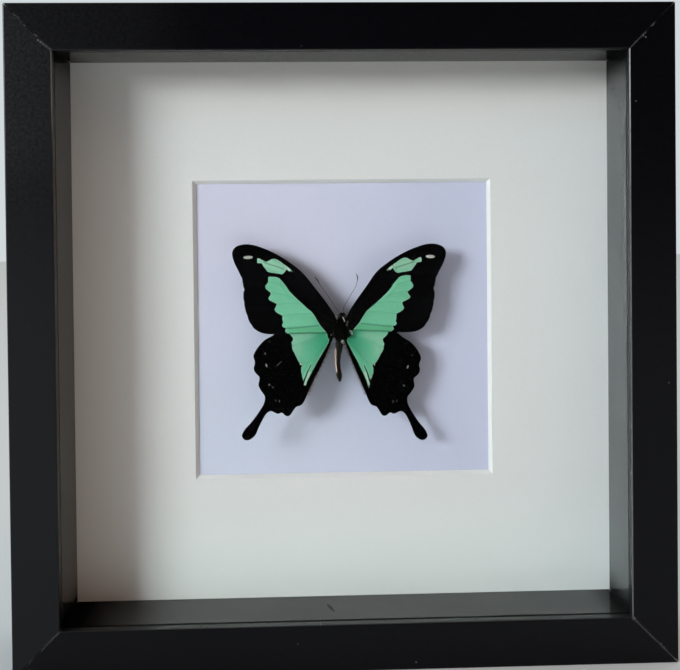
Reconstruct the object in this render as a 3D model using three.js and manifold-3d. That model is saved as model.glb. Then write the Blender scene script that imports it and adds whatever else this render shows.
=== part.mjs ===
// A spread swallowtail butterfly in a deep square box frame with a window mat.
// Millimetres. +X right, +Y to the back, +Z up.
// The origin is the centre of the frame's bottom face, so the frame stands on z = 0.

import * as THREE from 'three';
import { mergeVertices } from 'three/addons/utils/BufferGeometryUtils.js';
import Module from 'manifold-3d';

const wasm = await Module();
wasm.setup();

// Frame
const FRAME_SIDE = 250;
const FRAME_DEPTH = 45;
const FACE_WIDTH = 17.6;
const LIP_THICKNESS = 3.5;
const WALL_THICKNESS = 9.5;
const OUTER_EDGE_RADIUS = 0.6;
const LIP_EDGE_RADIUS = 0.5;
const EDGE_STEPS = 4;
const MITRE_GAP = 0.15;

// What is stacked in the rebate, front to back
const SEAT_GAP = 0.2;
const GLASS_THICKNESS = 1.6;
const SPACER_DEPTH = 22;
const SPACER_THICKNESS = 7.5;
const MAT_THICKNESS = 1.4;
const CARD_THICKNESS = 0.6;
const BACKBOARD_THICKNESS = 3;
const BOARD_CLEARANCE = 0.3;

// Mat window, measured at the mat's front face; its bevel is cut at 45 degrees
const WINDOW_SIDE = 120;
const WINDOW_RISE = 0.5;

// Bendable tabs that hold the backboard
const TAB_THICKNESS = 0.6;
const TAB_WIDTH = 8;
const TAB_REACH = 12;
const TAB_ROOT = 3;
const TAB_SPACING = 130;
const TAB_TIP_RADIUS = 2.5;

// Sawtooth hanger on the top rail
const HANGER_LENGTH = 46;
const HANGER_HEIGHT = 7.5;
const HANGER_THICKNESS = 0.9;
const HANGER_RISE = 1.8;
const HANGER_FOOT = 8;
const HANGER_STEP = 2.5;
const HANGER_TEETH = 9;
const TOOTH_DEPTH = 1.6;
const NOTCH_SHARE = 0.84;
const NAIL_HEAD_RADIUS = 1.7;
const NAIL_HEAD_THICKNESS = 0.8;
const NAIL_SHANK_RADIUS = 0.6;
const NAIL_LENGTH = 8;
const NAIL_CLEARANCE = 0.3;
const NAIL_POINT = 1.2;
const NAIL_SIDES = 12;

// Specimen: the place of the thorax in the frame, and the levels of its parts
const SPECIMEN_X = -1.1;
const SPECIMEN_Z = 125.8;
const THORAX = { x: -0.2, y: -1.6, z: -0.7, half: { x: 2.8, y: 2.4, z: 4.5 } };
const WING_THICKNESS = 0.5;
const FOREWING_FRONT = -3.3;
const HINDWING_FRONT = -2.4;
const BLOCK = { width: 6, height: 9, hold: 0.6 };
const HEAD = { x: 0.35, y: -1.9, z: 5.1, half: { x: 1.9, y: 1.6, z: 1.5 } };
const ANTENNA_RADIUS = 0.25;
const BODY_GAP = 0.3;
const BALL_SIDES = 24;
const BALL_RINGS = 16;

// Wing outlines are in specimen millimetres: x out from the body's middle line, z up from the
// thorax, for wings held flat. The left hindwing's lower end stands forward; the right wings are
// set a little lower and closer in, and the right forewing's front edge runs in more tightly.
const FOREWING_ROOT = {
  left: [[2.1, 4.6], [5, 9.7], [10, 16.4]],
  right: [[3.5, 4.8], [6.2, 9.7], [11, 16.8]],
};
const FOREWING = [
  [15, 22.6], [20, 26.8], [25, 30], [30, 32.4], [35, 34],
  [38.5, 34.1], [41.6, 33], [42.8, 31], [42.2, 27.5], [40.2, 23.2], [39.1, 20.5], [38.4, 16.3],
  [38.6, 13.5], [38, 9], [36.9, 5], [35, 1.4], [32, -0.7], [28, -1.4], [20, -1.2], [10, -1],
  [5, -0.9], [2.3, -0.6],
];
const HINDWING = [
  [3, -2.5], [5, -7.5], [8, -14], [11, -20], [13.5, -25], [15.2, -28.5], [16.4, -29.9], [18, -30.2],
  [19.3, -31.7], [20.7, -33.6], [21.8, -34], [22.9, -33.4], [24, -32.5], [25.5, -33], [26.8, -32.4],
  [28.3, -31.8], [30, -32.7], [31.5, -35], [33.3, -38.5], [34.3, -40.8], [36, -42.5], [38.2, -43.1],
  [39.8, -41.6], [38.9, -39.2], [36, -36], [33, -32], [31, -28.6], [30.7, -26], [32, -24],
  [33.2, -21.6], [32.8, -18.4], [34.3, -16.8], [35.1, -15], [34.6, -12.6], [35.2, -10], [34.3, -7.9],
  [32.8, -5.8], [30.5, -3.6], [27.5, -2], [24, 0.5], [20, 2.2], [15, 2.8], [10, 2.4], [6, 1], [3.4, -0.9],
];
const FOREWING_STEPS = 80;
const HINDWING_STEPS = 120;
const AS_DRAWN = { scale: 1, turn: 0, shift: [0, 0], tilt: 0 };
const RIGHT_FOREWING = { scale: 0.991, turn: -0.03, shift: [-1.4, 0.9], tilt: 0 };
const LEFT_HINDWING = { scale: 0.98, turn: 0, shift: [0.25, 0], tilt: 8 };
const RIGHT_HINDWING = { scale: 0.984, turn: -0.07, shift: [-2.25, 0.35], tilt: 0 };
// A tilted wing leans about this height, its lower end forward by tilt degrees
const TILT_HEIGHT = -2;

// The abdomen's middle line leans left and comes back at the tip: [x, z, radius]
const ABDOMEN = [
  [-0.9, -5, 1.1], [-1, -6.5, 1.5], [-1.5, -10, 1.25], [-1.6, -14, 1.08], [-1.2, -17, 1.1],
  [-0.9, -19.1, 0.75], [-0.8, -20.1, 0.25],
];
const ABDOMEN_RINGS = 14;
const ABDOMEN_SIDES = 14;
const ANTENNAE = {
  left: [[-0.9, 7.2], [-2.2, 8.8], [-5.4, 13.8], [-8.3, 18], [-9.3, 19.8], [-10.4, 21.2]],
  right: [[0.7, 7.3], [1.3, 9.4], [3.6, 13.4], [5.6, 16.8], [6.5, 19.6], [6.5, 21], [5.9, 22.3]],
};
const ANTENNA_STEPS = 14;
const ANTENNA_SIDES = 8;
const ANTENNA_LIFT = 1.2;

// Levels worked out from the stack
const front = -FRAME_DEPTH / 2;
const back = FRAME_DEPTH / 2;
const glassFront = front + LIP_THICKNESS + SEAT_GAP;
const spacerFront = glassFront + GLASS_THICKNESS + SEAT_GAP;
const matFront = spacerFront + SPACER_DEPTH + SEAT_GAP;
const cardFront = matFront + MAT_THICKNESS + SEAT_GAP;
const backboardFront = cardFront + CARD_THICKNESS + SEAT_GAP;
const tabFront = backboardFront + BACKBOARD_THICKNESS + SEAT_GAP;
const boardSide = FRAME_SIDE - 2 * (WALL_THICKNESS + BOARD_CLEARANCE);
const centre = FRAME_SIDE / 2;

const root = new THREE.Group();
root.name = 'framed_butterfly';

function material(color, roughness, metalness = 0) {
  return new THREE.MeshStandardMaterial({ color, roughness, metalness });
}

function addMesh(parent, name, geometry, look) {
  const mesh = new THREE.Mesh(geometry, look);
  mesh.name = name;
  parent.add(mesh);
  return mesh;
}

// Booleans work on position-only geometry with shared vertices
function toSolid(geometry) {
  const plain = geometry.clone();
  plain.deleteAttribute('normal');
  plain.deleteAttribute('uv');
  const merged = mergeVertices(plain, 1e-4);
  return new wasm.Manifold(new wasm.Mesh({
    numProp: 3,
    vertProperties: new Float32Array(merged.attributes.position.array),
    triVerts: new Uint32Array(merged.index.array),
  }));
}

function toGeometry(solid) {
  const mesh = solid.getMesh();
  const geometry = new THREE.BufferGeometry();
  geometry.setAttribute('position', new THREE.BufferAttribute(mesh.vertProperties, 3));
  geometry.setIndex(new THREE.BufferAttribute(mesh.triVerts, 1));
  return geometry;
}

function cut(geometry, cutters) {
  let solid = toSolid(geometry);
  for (const cutter of cutters) solid = solid.subtract(toSolid(cutter));
  return toGeometry(solid);
}

// A mitred strip of the frame. The profile's x is the distance in from the frame's outer face and
// its y is the depth; each end is cut back by that same distance, which gives the 45 degree mitre.
// The strip lies along X with its outer face at z = -FRAME_SIDE / 2, as the bottom one does.
function mitredStrip(profile) {
  const geometry = new THREE.ExtrudeGeometry(profile, { depth: 1, bevelEnabled: false });
  const place = geometry.attributes.position;
  for (let i = 0; i < place.count; i += 1) {
    const inset = place.getX(i);
    const end = place.getZ(i) > 0.5 ? -1 : 1;
    place.setXYZ(i, end * (centre - inset - MITRE_GAP), place.getY(i), inset - centre);
  }
  return geometry;
}

function railProfile() {
  const shape = new THREE.Shape();
  const outer = OUTER_EDGE_RADIUS;
  const lip = LIP_EDGE_RADIUS;
  shape.moveTo(0, front + outer);
  shape.absarc(outer, front + outer, outer, Math.PI, 1.5 * Math.PI, false);
  shape.lineTo(FACE_WIDTH - lip, front);
  shape.absarc(FACE_WIDTH - lip, front + lip, lip, 1.5 * Math.PI, 2 * Math.PI, false);
  shape.lineTo(FACE_WIDTH, front + LIP_THICKNESS);
  shape.lineTo(WALL_THICKNESS, front + LIP_THICKNESS);
  shape.lineTo(WALL_THICKNESS, back);
  shape.lineTo(0, back);
  return new THREE.Shape(shape.getPoints(EDGE_STEPS));
}

function spacerProfile() {
  const outer = WALL_THICKNESS + BOARD_CLEARANCE;
  const shape = new THREE.Shape();
  shape.moveTo(outer, spacerFront);
  shape.lineTo(outer + SPACER_THICKNESS, spacerFront);
  shape.lineTo(outer + SPACER_THICKNESS, spacerFront + SPACER_DEPTH);
  shape.lineTo(outer, spacerFront + SPACER_DEPTH);
  return shape;
}

function boxAt(width, depth, height, x, y, z) {
  return new THREE.BoxGeometry(width, depth, height).translate(x, y, z);
}

// Slots in a rail's inner wall take the roots of its two tabs
function tabSlots() {
  const mouth = WALL_THICKNESS - centre + 1;
  const height = TAB_ROOT + SEAT_GAP + 1;
  return [-1, 1].map((side) => boxAt(
    TAB_WIDTH + 2 * SEAT_GAP,
    TAB_THICKNESS + 2 * SEAT_GAP,
    height,
    side * TAB_SPACING / 2,
    tabFront + TAB_THICKNESS / 2,
    mouth - height / 2,
  ));
}

function nailHole(x, radius, length) {
  return new THREE.CylinderGeometry(radius, radius, length, NAIL_SIDES)
    .translate(x, back - length / 2 + 1, WALL_THICKNESS / 2 - centre);
}

function tabShape() {
  const half = TAB_WIDTH / 2;
  const root = -TAB_ROOT;
  const tip = TAB_TIP_RADIUS;
  const shoulder = TAB_REACH - tip;
  const shape = new THREE.Shape();
  shape.moveTo(-half, root);
  shape.lineTo(half, root);
  shape.lineTo(half, shoulder);
  shape.absarc(half - tip, shoulder, tip, 0, Math.PI / 2, false);
  shape.absarc(tip - half, shoulder, tip, Math.PI / 2, Math.PI, false);
  return new THREE.Shape(shape.getPoints(EDGE_STEPS));
}

function tabGeometry(side) {
  return new THREE.ExtrudeGeometry(tabShape(), { depth: TAB_THICKNESS, bevelEnabled: false })
    .rotateX(Math.PI / 2)
    .translate(side * TAB_SPACING / 2, tabFront + TAB_THICKNESS, WALL_THICKNESS - centre);
}

// Quarter turns about Y put the bottom strip on each side of the frame
const SIDES = [
  { name: 'bottom', turn: 0 },
  { name: 'left', turn: Math.PI / 2 },
  { name: 'top', turn: Math.PI },
  { name: 'right', turn: -Math.PI / 2 },
];

function addFrame() {
  const foil = material(0x121214, 0.38);
  const spacerFoil = material(0x1b1c1c, 0.42);
  const steel = material(0x9c9fa2, 0.35, 1);
  for (const { name, turn } of SIDES) {
    const side = new THREE.Group();
    side.position.z = centre;
    side.rotation.y = turn;
    root.add(side);
    const cutters = tabSlots();
    if (name === 'top') {
      const radius = NAIL_SHANK_RADIUS + NAIL_CLEARANCE;
      for (const x of nailPlaces()) cutters.push(nailHole(x, radius, NAIL_LENGTH + 1));
    }
    addMesh(side, `rail_${name}`, cut(mitredStrip(railProfile()), cutters), foil.clone());
    addMesh(side, `spacer_${name}`, mitredStrip(spacerProfile()), spacerFoil.clone());
    addMesh(side, `tab_${name}_1`, tabGeometry(-1), steel.clone());
    addMesh(side, `tab_${name}_2`, tabGeometry(1), steel.clone());
  }
}

function addBoard(name, thickness, y, look) {
  addMesh(root, name, boxAt(boardSide, thickness, boardSide, 0, y + thickness / 2, centre), look);
}

// The shape's near side becomes the mat's back, where the bevel makes the window smaller
function addMat() {
  const half = boardSide / 2;
  const window = WINDOW_SIDE / 2;
  const shape = new THREE.Shape();
  shape.moveTo(-half, -half).lineTo(half, -half).lineTo(half, half).lineTo(-half, half);
  const hole = new THREE.Path();
  hole.moveTo(-window, -window).lineTo(-window, window).lineTo(window, window).lineTo(window, -window);
  shape.holes.push(hole);
  const geometry = new THREE.ExtrudeGeometry(shape, { depth: MAT_THICKNESS, bevelEnabled: false });
  const place = geometry.attributes.position;
  for (let i = 0; i < place.count; i += 1) {
    const x = place.getX(i);
    const z = place.getY(i);
    const onWindow = Math.abs(x) < half - 1;
    const inset = onWindow && place.getZ(i) < MAT_THICKNESS / 2 ? MAT_THICKNESS : 0;
    const rise = onWindow ? WINDOW_RISE : 0;
    place.setXY(i, x - Math.sign(x) * inset, z - Math.sign(z) * inset + rise);
  }
  geometry.rotateX(Math.PI / 2).translate(0, matFront + MAT_THICKNESS, centre);
  addMesh(root, 'mat_board', geometry, material(0xe9e7e0, 0.9));
}

function nailPlaces() {
  const offset = HANGER_LENGTH / 2 - HANGER_FOOT / 2;
  return [-offset, offset];
}

// The hanger is a strip bent up between its two feet, with teeth cut in its lower edge
function hangerGeometry() {
  const half = HANGER_LENGTH / 2;
  const foot = half - HANGER_FOOT;
  const crest = foot - HANGER_STEP;
  const shape = new THREE.Shape();
  shape.moveTo(-half, 0).lineTo(-foot, 0).lineTo(-crest, HANGER_RISE).lineTo(crest, HANGER_RISE);
  shape.lineTo(foot, 0).lineTo(half, 0).lineTo(half, HANGER_THICKNESS).lineTo(foot, HANGER_THICKNESS);
  shape.lineTo(crest, HANGER_RISE + HANGER_THICKNESS).lineTo(-crest, HANGER_RISE + HANGER_THICKNESS);
  shape.lineTo(-foot, HANGER_THICKNESS).lineTo(-half, HANGER_THICKNESS);
  const strip = new THREE.ExtrudeGeometry(shape, { depth: HANGER_HEIGHT, bevelEnabled: false })
    .translate(0, 0, -HANGER_HEIGHT / 2);
  const pitch = 2 * crest / HANGER_TEETH;
  const reach = pitch * NOTCH_SHARE / 2;
  const cutters = [];
  for (let i = 0; i < HANGER_TEETH; i += 1) {
    const notch = new THREE.Shape();
    const x = -crest + pitch * (i + 0.5);
    notch.moveTo(x - reach, -1).lineTo(x + reach, -1).lineTo(x, TOOTH_DEPTH);
    cutters.push(new THREE.ExtrudeGeometry(notch, { depth: HANGER_HEIGHT, bevelEnabled: false })
      .rotateX(Math.PI / 2)
      .translate(0, HANGER_HEIGHT - 1, -HANGER_HEIGHT / 2));
  }
  for (const x of nailPlaces()) {
    const radius = NAIL_SHANK_RADIUS + NAIL_CLEARANCE;
    cutters.push(new THREE.CylinderGeometry(radius, radius, HANGER_HEIGHT, NAIL_SIDES).translate(x, 0, 0));
  }
  return cut(strip, cutters);
}

function nailGeometry() {
  const top = NAIL_LENGTH + NAIL_HEAD_THICKNESS;
  const profile = [
    [0, 0], [NAIL_SHANK_RADIUS, NAIL_POINT], [NAIL_SHANK_RADIUS, NAIL_LENGTH],
    [NAIL_HEAD_RADIUS, NAIL_LENGTH], [NAIL_HEAD_RADIUS, top - NAIL_HEAD_THICKNESS / 3],
    [NAIL_HEAD_RADIUS * 0.7, top], [0, top],
  ].map(([radius, along]) => new THREE.Vector2(radius, along));
  return new THREE.LatheGeometry(profile, NAIL_SIDES);
}

function addHanger() {
  const steel = material(0x8d9092, 0.4, 1);
  const rail = FRAME_SIDE - WALL_THICKNESS / 2;
  const hanger = addMesh(root, 'sawtooth_hanger', hangerGeometry(), steel);
  hanger.position.set(0, back + SEAT_GAP, rail);
  const underHead = back + 2 * SEAT_GAP + HANGER_THICKNESS;
  nailPlaces().forEach((x, i) => {
    const nail = addMesh(root, `hanger_nail_${i + 1}`, nailGeometry(), steel.clone());
    nail.position.set(x, underHead - NAIL_LENGTH, rail);
  });
}

function placed([x, z], { scale, turn, shift }) {
  return [
    scale * (x * Math.cos(turn) - z * Math.sin(turn)) + shift[0],
    scale * (x * Math.sin(turn) + z * Math.cos(turn)) + shift[1],
  ];
}

function wingGeometry(outline, steps, side, pose, level) {
  const points = outline.map((point) => {
    const [x, z] = placed(point, pose);
    return new THREE.Vector3(side * x, z, 0);
  });
  const curve = new THREE.CatmullRomCurve3(points, true, 'centripetal');
  const smooth = curve.getSpacedPoints(steps).slice(0, steps);
  const shape = new THREE.Shape(smooth.map((point) => new THREE.Vector2(point.x, point.y)));
  return new THREE.ExtrudeGeometry(shape, { depth: WING_THICKNESS, bevelEnabled: false })
    .rotateX(Math.PI / 2)
    .translate(0, WING_THICKNESS, -TILT_HEIGHT)
    .rotateX(-THREE.MathUtils.degToRad(pose.tilt))
    .translate(0, level, TILT_HEIGHT);
}

function ellipsoid({ x, y, z, half }, grow) {
  return new THREE.SphereGeometry(1, BALL_SIDES, BALL_RINGS)
    .scale(half.x + grow, half.y + grow, half.z + grow)
    .translate(x, y, z);
}

// A straight lathe whose rings are then moved sideways onto the abdomen's middle line
function abdomen(grow) {
  const line = new THREE.SplineCurve(ABDOMEN.map(([x, z]) => new THREE.Vector2(x, z)));
  const radii = new THREE.SplineCurve(ABDOMEN.map(([, z, radius]) => new THREE.Vector2(radius, z)));
  const profile = radii.getPoints(ABDOMEN_RINGS).map((p) => new THREE.Vector2(p.x + grow, p.y));
  const top = profile[0].y;
  const tip = profile[ABDOMEN_RINGS].y;
  const ends = [new THREE.Vector2(0, tip - grow), new THREE.Vector2(0, top + grow)];
  const geometry = new THREE.LatheGeometry([ends[0], ...profile.reverse(), ends[1]], ABDOMEN_SIDES);
  const place = geometry.attributes.position;
  for (let i = 0; i < place.count; i += 1) {
    const height = place.getY(i);
    const share = THREE.MathUtils.clamp((top - height) / (top - tip), 0, 1);
    place.setXYZ(i, place.getX(i) + line.getPoint(share).x, THORAX.y - place.getZ(i), height);
  }
  return geometry;
}

function antennaGeometry(points) {
  const last = points.length - 1;
  const path = new THREE.CatmullRomCurve3(points.map(([x, z], i) => (
    new THREE.Vector3(x, HEAD.y - ANTENNA_LIFT * i / last, z)
  )));
  const circle = new THREE.Shape().absarc(0, 0, ANTENNA_RADIUS, 0, 2 * Math.PI, false);
  const ring = new THREE.Shape(circle.getPoints(ANTENNA_SIDES).slice(0, ANTENNA_SIDES));
  return new THREE.ExtrudeGeometry(ring, {
    steps: ANTENNA_STEPS, extrudePath: path, bevelEnabled: false,
  });
}

function addSpecimen() {
  const specimen = new THREE.Group();
  specimen.position.set(SPECIMEN_X, 0, SPECIMEN_Z);
  root.add(specimen);
  const scales = material(0x0b0b0d, 0.8);
  const fur = material(0x17120e, 0.95);
  const aroundThorax = ellipsoid(THORAX, BODY_GAP);
  const aroundHead = ellipsoid(HEAD, BODY_GAP);
  const clear = [aroundThorax, aroundHead, abdomen(BODY_GAP)];
  for (const [side, name, fore, hind] of [
    [-1, 'left', AS_DRAWN, LEFT_HINDWING],
    [1, 'right', RIGHT_FOREWING, RIGHT_HINDWING],
  ]) {
    const outline = [...FOREWING_ROOT[name], ...FOREWING];
    const forewing = wingGeometry(outline, FOREWING_STEPS, side, fore, FOREWING_FRONT);
    const hindwing = wingGeometry(HINDWING, HINDWING_STEPS, side, hind, HINDWING_FRONT);
    addMesh(specimen, `forewing_${name}`, cut(forewing, clear), scales.clone());
    addMesh(specimen, `hindwing_${name}`, cut(hindwing, clear), scales.clone());
    addMesh(specimen, `antenna_${name}`, antennaGeometry(ANTENNAE[name]), fur.clone());
  }
  addMesh(specimen, 'thorax', cut(ellipsoid(THORAX, 0), [aroundHead]), fur.clone());
  addMesh(specimen, 'head', ellipsoid(HEAD, 0), fur.clone());
  addMesh(specimen, 'abdomen', cut(abdomen(0), [aroundThorax]), fur.clone());
}

// The block is glued to the card and carries the thorax, whose underside sits in its face
function addMountingBlock() {
  const faceY = THORAX.y + THORAX.half.y * BLOCK.hold;
  const depth = cardFront - SEAT_GAP - faceY;
  const block = boxAt(BLOCK.width, depth, BLOCK.height, SPECIMEN_X, faceY + depth / 2, SPECIMEN_Z);
  const hollow = ellipsoid(THORAX, BODY_GAP).translate(SPECIMEN_X, 0, SPECIMEN_Z);
  addMesh(root, 'mounting_block', cut(block, [hollow]), material(0xe6e4dc, 0.9));
}

addFrame();
addBoard('glass_pane', GLASS_THICKNESS, glassFront, material(0xf2f6f5, 0.05));
addMat();
addBoard('backing_card', CARD_THICKNESS, cardFront, material(0xccccdc, 0.95));
addBoard('backboard', BACKBOARD_THICKNESS, backboardFront, material(0x7a5c3e, 0.8));
addHanger();
addSpecimen();
addMountingBlock();

export default root;
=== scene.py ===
import math

import bmesh
import bpy
import numpy as np
from mathutils import Matrix, Vector, geometry


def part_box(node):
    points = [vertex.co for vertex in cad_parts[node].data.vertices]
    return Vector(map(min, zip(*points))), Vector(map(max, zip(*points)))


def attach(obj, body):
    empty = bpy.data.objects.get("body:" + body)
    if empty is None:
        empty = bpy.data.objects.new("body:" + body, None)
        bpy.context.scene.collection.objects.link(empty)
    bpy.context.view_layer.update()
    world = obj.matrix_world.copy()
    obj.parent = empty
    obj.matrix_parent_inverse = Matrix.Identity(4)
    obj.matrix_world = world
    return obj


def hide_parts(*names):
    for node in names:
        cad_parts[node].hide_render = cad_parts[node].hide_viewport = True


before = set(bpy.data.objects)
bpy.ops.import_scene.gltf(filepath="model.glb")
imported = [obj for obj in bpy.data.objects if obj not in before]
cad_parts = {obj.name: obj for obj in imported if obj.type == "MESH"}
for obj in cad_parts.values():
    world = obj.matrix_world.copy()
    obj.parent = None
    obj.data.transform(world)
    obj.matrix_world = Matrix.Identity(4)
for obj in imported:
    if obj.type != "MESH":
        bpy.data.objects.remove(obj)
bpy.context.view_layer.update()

# All measures are millimetres unless a name says otherwise; meshes are scaled to metres once.
MM = 0.001
rng = np.random.default_rng(20)

# Camera, as it stood in front of the frame: place, turn, lens
CAMERA_PLACE = (-13.18, -357.16, 167.96)
CAMERA_YAW, CAMERA_PITCH, CAMERA_ROLL = (math.radians(a) for a in (-1.919, -0.762, 0.583))
CAMERA_LENS = 47.65
CAMERA_SHIFT_Y = -0.147

# Key lamp: direction from the specimen, distance, width and height in metres, power in watts
KEY_DIRECTION = (-1.2, -1.0, 0.40)
KEY_DISTANCE, KEY_SIZE, KEY_POWER = 4.0, (1.41, 1.05), 67.0
KEY_COLOUR = (0.94, 0.985, 1.0)
# Soft light from all round: cool from the left, warm from the right, neutral from behind,
# strongest from above, none from the dark patch
WORLD_STRENGTH = 0.52
WORLD_LEFT, WORLD_RIGHT = (0.75, 0.79, 0.97), (1.38, 0.76, 0.43)
WORLD_ABOVE = (1.60, 1.90, 1.85)
WORLD_BEHIND = (0.86, 0.84, 0.83)
# Between which x, y and z of a direction the light turns from left to right, to behind and to above
ACROSS_FADE, BEHIND_FADE, ABOVE_FADE = (-0.7, 0.7), (-0.2, 0.2), (0.75, 1.0)
BACKDROP_COLOUR = (0.64, 0.69, 0.71)
DARK_DIRECTION = (0.04, -1.0, -0.12)
DARK_CORE, DARK_RIM = math.cos(math.radians(36)), math.cos(math.radians(60))

# The specimen's own origin is at the thorax; x is out to the right and z is up
SPECIMEN = Vector((-1.1, 0.0, 125.8))
LEFT, RIGHT = -1, 1


# ---------------------------------------------------------------- shader nodes

class Nodes:
    """Short calls for the shader nodes used here, in one node tree."""

    def __init__(self, tree):
        self.tree = tree

    def feed(self, socket, value):
        """Links the socket to another one, or sets a plain value on it."""
        if isinstance(value, bpy.types.NodeSocket):
            self.tree.links.new(value, socket)
        elif isinstance(value, tuple) and socket.type == "RGBA":
            socket.default_value = (*value, 1.0)
        else:
            socket.default_value = value

    def node(self, kind, **settings):
        made = self.tree.nodes.new("ShaderNode" + kind)
        for key, value in settings.items():
            setattr(made, key, value)
        return made

    def maths(self, operation, a, b=0.0):
        made = self.node("Math", operation=operation)
        self.feed(made.inputs[0], a)
        self.feed(made.inputs[1], b)
        return made.outputs[0]

    def plus(self, a, b):
        return self.maths("ADD", a, b)

    def minus(self, a, b):
        return self.maths("SUBTRACT", a, b)

    def times(self, a, b):
        return self.maths("MULTIPLY", a, b)

    def most(self, a, b):
        return self.maths("MAXIMUM", a, b)

    def least(self, a, b):
        return self.maths("MINIMUM", a, b)

    def above(self, a, b):
        """One where a is greater than b, else none."""
        return self.maths("GREATER_THAN", a, b)

    def below(self, a, b):
        """One where a is less than b, else none."""
        return self.maths("LESS_THAN", a, b)

    def size(self, value):
        return self.maths("ABSOLUTE", value)

    def vector(self, operation, a, b, result="Vector"):
        made = self.node("VectorMath", operation=operation)
        self.feed(made.inputs[0], a)
        self.feed(made.inputs[1], b)
        return made.outputs[result]

    def parts(self, vector):
        """The x, y and z of a vector."""
        made = self.node("SeparateXYZ")
        self.feed(made.inputs[0], vector)
        return made.outputs

    def fade(self, value, low, high, to_low=0.0, to_high=1.0, shape="SMOOTHSTEP"):
        """A step from to_low at low to to_high at high."""
        made = self.node("MapRange", interpolation_type=shape)
        self.feed(made.inputs["Value"], value)
        for socket, number in zip(("From Min", "From Max", "To Min", "To Max"), (low, high, to_low, to_high)):
            made.inputs[socket].default_value = number
        return made.outputs["Result"]

    def blend(self, share, a, b):
        """Colour a where the share is none, colour b where it is one."""
        made = self.node("Mix", data_type="RGBA")
        self.feed(made.inputs["Factor"], share)
        colour_a, colour_b = made.inputs[6:8]
        self.feed(colour_a, a)
        self.feed(colour_b, b)
        return made.outputs[2]


class Look(Nodes):
    """A Principled material in the making."""

    def __init__(self, name, **fixed):
        self.material = bpy.data.materials.new(name)
        self.material.use_nodes = True
        super().__init__(self.material.node_tree)
        self.shader = self.tree.nodes["Principled BSDF"]
        for socket, value in fixed.items():
            self.set(socket.replace("_", " "), value)

    def set(self, socket, value):
        self.feed(self.shader.inputs[socket], value)

    def place(self):
        """The point on the piece, in millimetres."""
        made = self.node("VectorMath", operation="SCALE")
        self.feed(made.inputs[0], self.node("TexCoord").outputs["Object"])
        made.inputs["Scale"].default_value = 1 / MM
        return made.outputs[0]

    def stretched(self, factors):
        return self.vector("MULTIPLY", self.place(), factors)

    def axes(self):
        return self.parts(self.place())

    def noise(self, per_mm, detail=2.0, at=None, roughness=0.5):
        made = self.node("TexNoise")
        self.feed(made.inputs["Vector"], at or self.place())
        made.inputs["Scale"].default_value = per_mm
        made.inputs["Detail"].default_value = detail
        made.inputs["Roughness"].default_value = roughness
        return made.outputs["Fac"]

    def cells(self, per_mm):
        """How far the point is from the middle of the nearest of many scattered cells."""
        made = self.node("TexVoronoi")
        self.feed(made.inputs["Vector"], self.place())
        made.inputs["Scale"].default_value = per_mm
        return made.outputs["Distance"]

    def attribute(self, name):
        return self.node("Attribute", attribute_name=name).outputs["Fac"]

    def marks(self, places):
        """One inside any of the round places, given as x, z and reach, and none outside."""
        flat = self.stretched((1.0, 0.0, 1.0))
        found = 0.0
        for x, z, reach in places:
            off = self.vector("DISTANCE", flat, (x, 0.0, z), "Value")
            found = self.most(self.fade(off, reach, 0.6 * reach), found)
        return found

    def bump(self, height, depth_mm, strength=1.0):
        made = self.node("Bump")
        self.feed(made.inputs["Height"], height)
        made.inputs["Distance"].default_value = depth_mm * MM
        made.inputs["Strength"].default_value = strength
        self.set("Normal", made.outputs[0])


# ---------------------------------------------------------------- materials of the frame

# Half the frame's side and its walls' thickness, as in the CAD
HALF_SIDE, WALL_THICKNESS = 125.0, 9.5
# Limits in y and z that tell the frame's faces apart: the lip is before LIP_FRONT, the front face
# before FACE_BACK, the rails' backs behind RAIL_BACK, and the bottom spacer under its limit
LIP_FRONT, FACE_BACK, RAIL_BACK, BOTTOM_SPACER_TOP = -21.9, -20.0, 22.4, 20.0
# Places on the frame's face where the foil is knocked through: x, z, reach
FRAME_CHIPS = [
    (-112.1, 236.2, 0.45), (-111.2, 235.5, 0.5), (-110.3, 234.8, 0.45), (-109.3, 234.1, 0.5),
    (-108.5, 233.4, 0.4), (-107.8, 232.9, 0.45), (-116.9, 241.7, 0.4), (-106.1, 231.5, 0.35),
    (107.9, 17.2, 0.8), (109.0, 16.0, 0.5), (110.1, 14.9, 0.4), (118.1, 7.3, 0.5), (119.3, 6.1, 0.4),
    (109.75, 212.7, 0.35), (-10.75, 17.8, 0.3), (112.6, 237.3, 0.55), (113.6, 236.6, 0.4),
]
# The hazy upper left corner of the face: x, z, reach
HAZE = [(-125.0, 250.0, 75.0)]
# The dull scuff on the bottom spacer: place in x and y, turn, and one over its half length and width
SCUFF_PLACE, SCUFF_TURN = (-6.5, -6.5), 0.33
SCUFF_ALONG, SCUFF_ACROSS = 0.24, 1.5


class FramePlace:
    """Where a point is on the frame, for the looks that change over it."""

    def __init__(self, look):
        self.x, self.y, self.z = look.axes()
        self.across = look.size(self.x)
        self.up = look.size(look.minus(self.z, HALF_SIDE))
        self.inset = look.minus(HALF_SIDE, look.most(self.across, self.up))
        self.on_right = look.above(self.x, self.up)
        self.on_left = look.above(look.minus(0.0, self.x), self.up)


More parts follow.
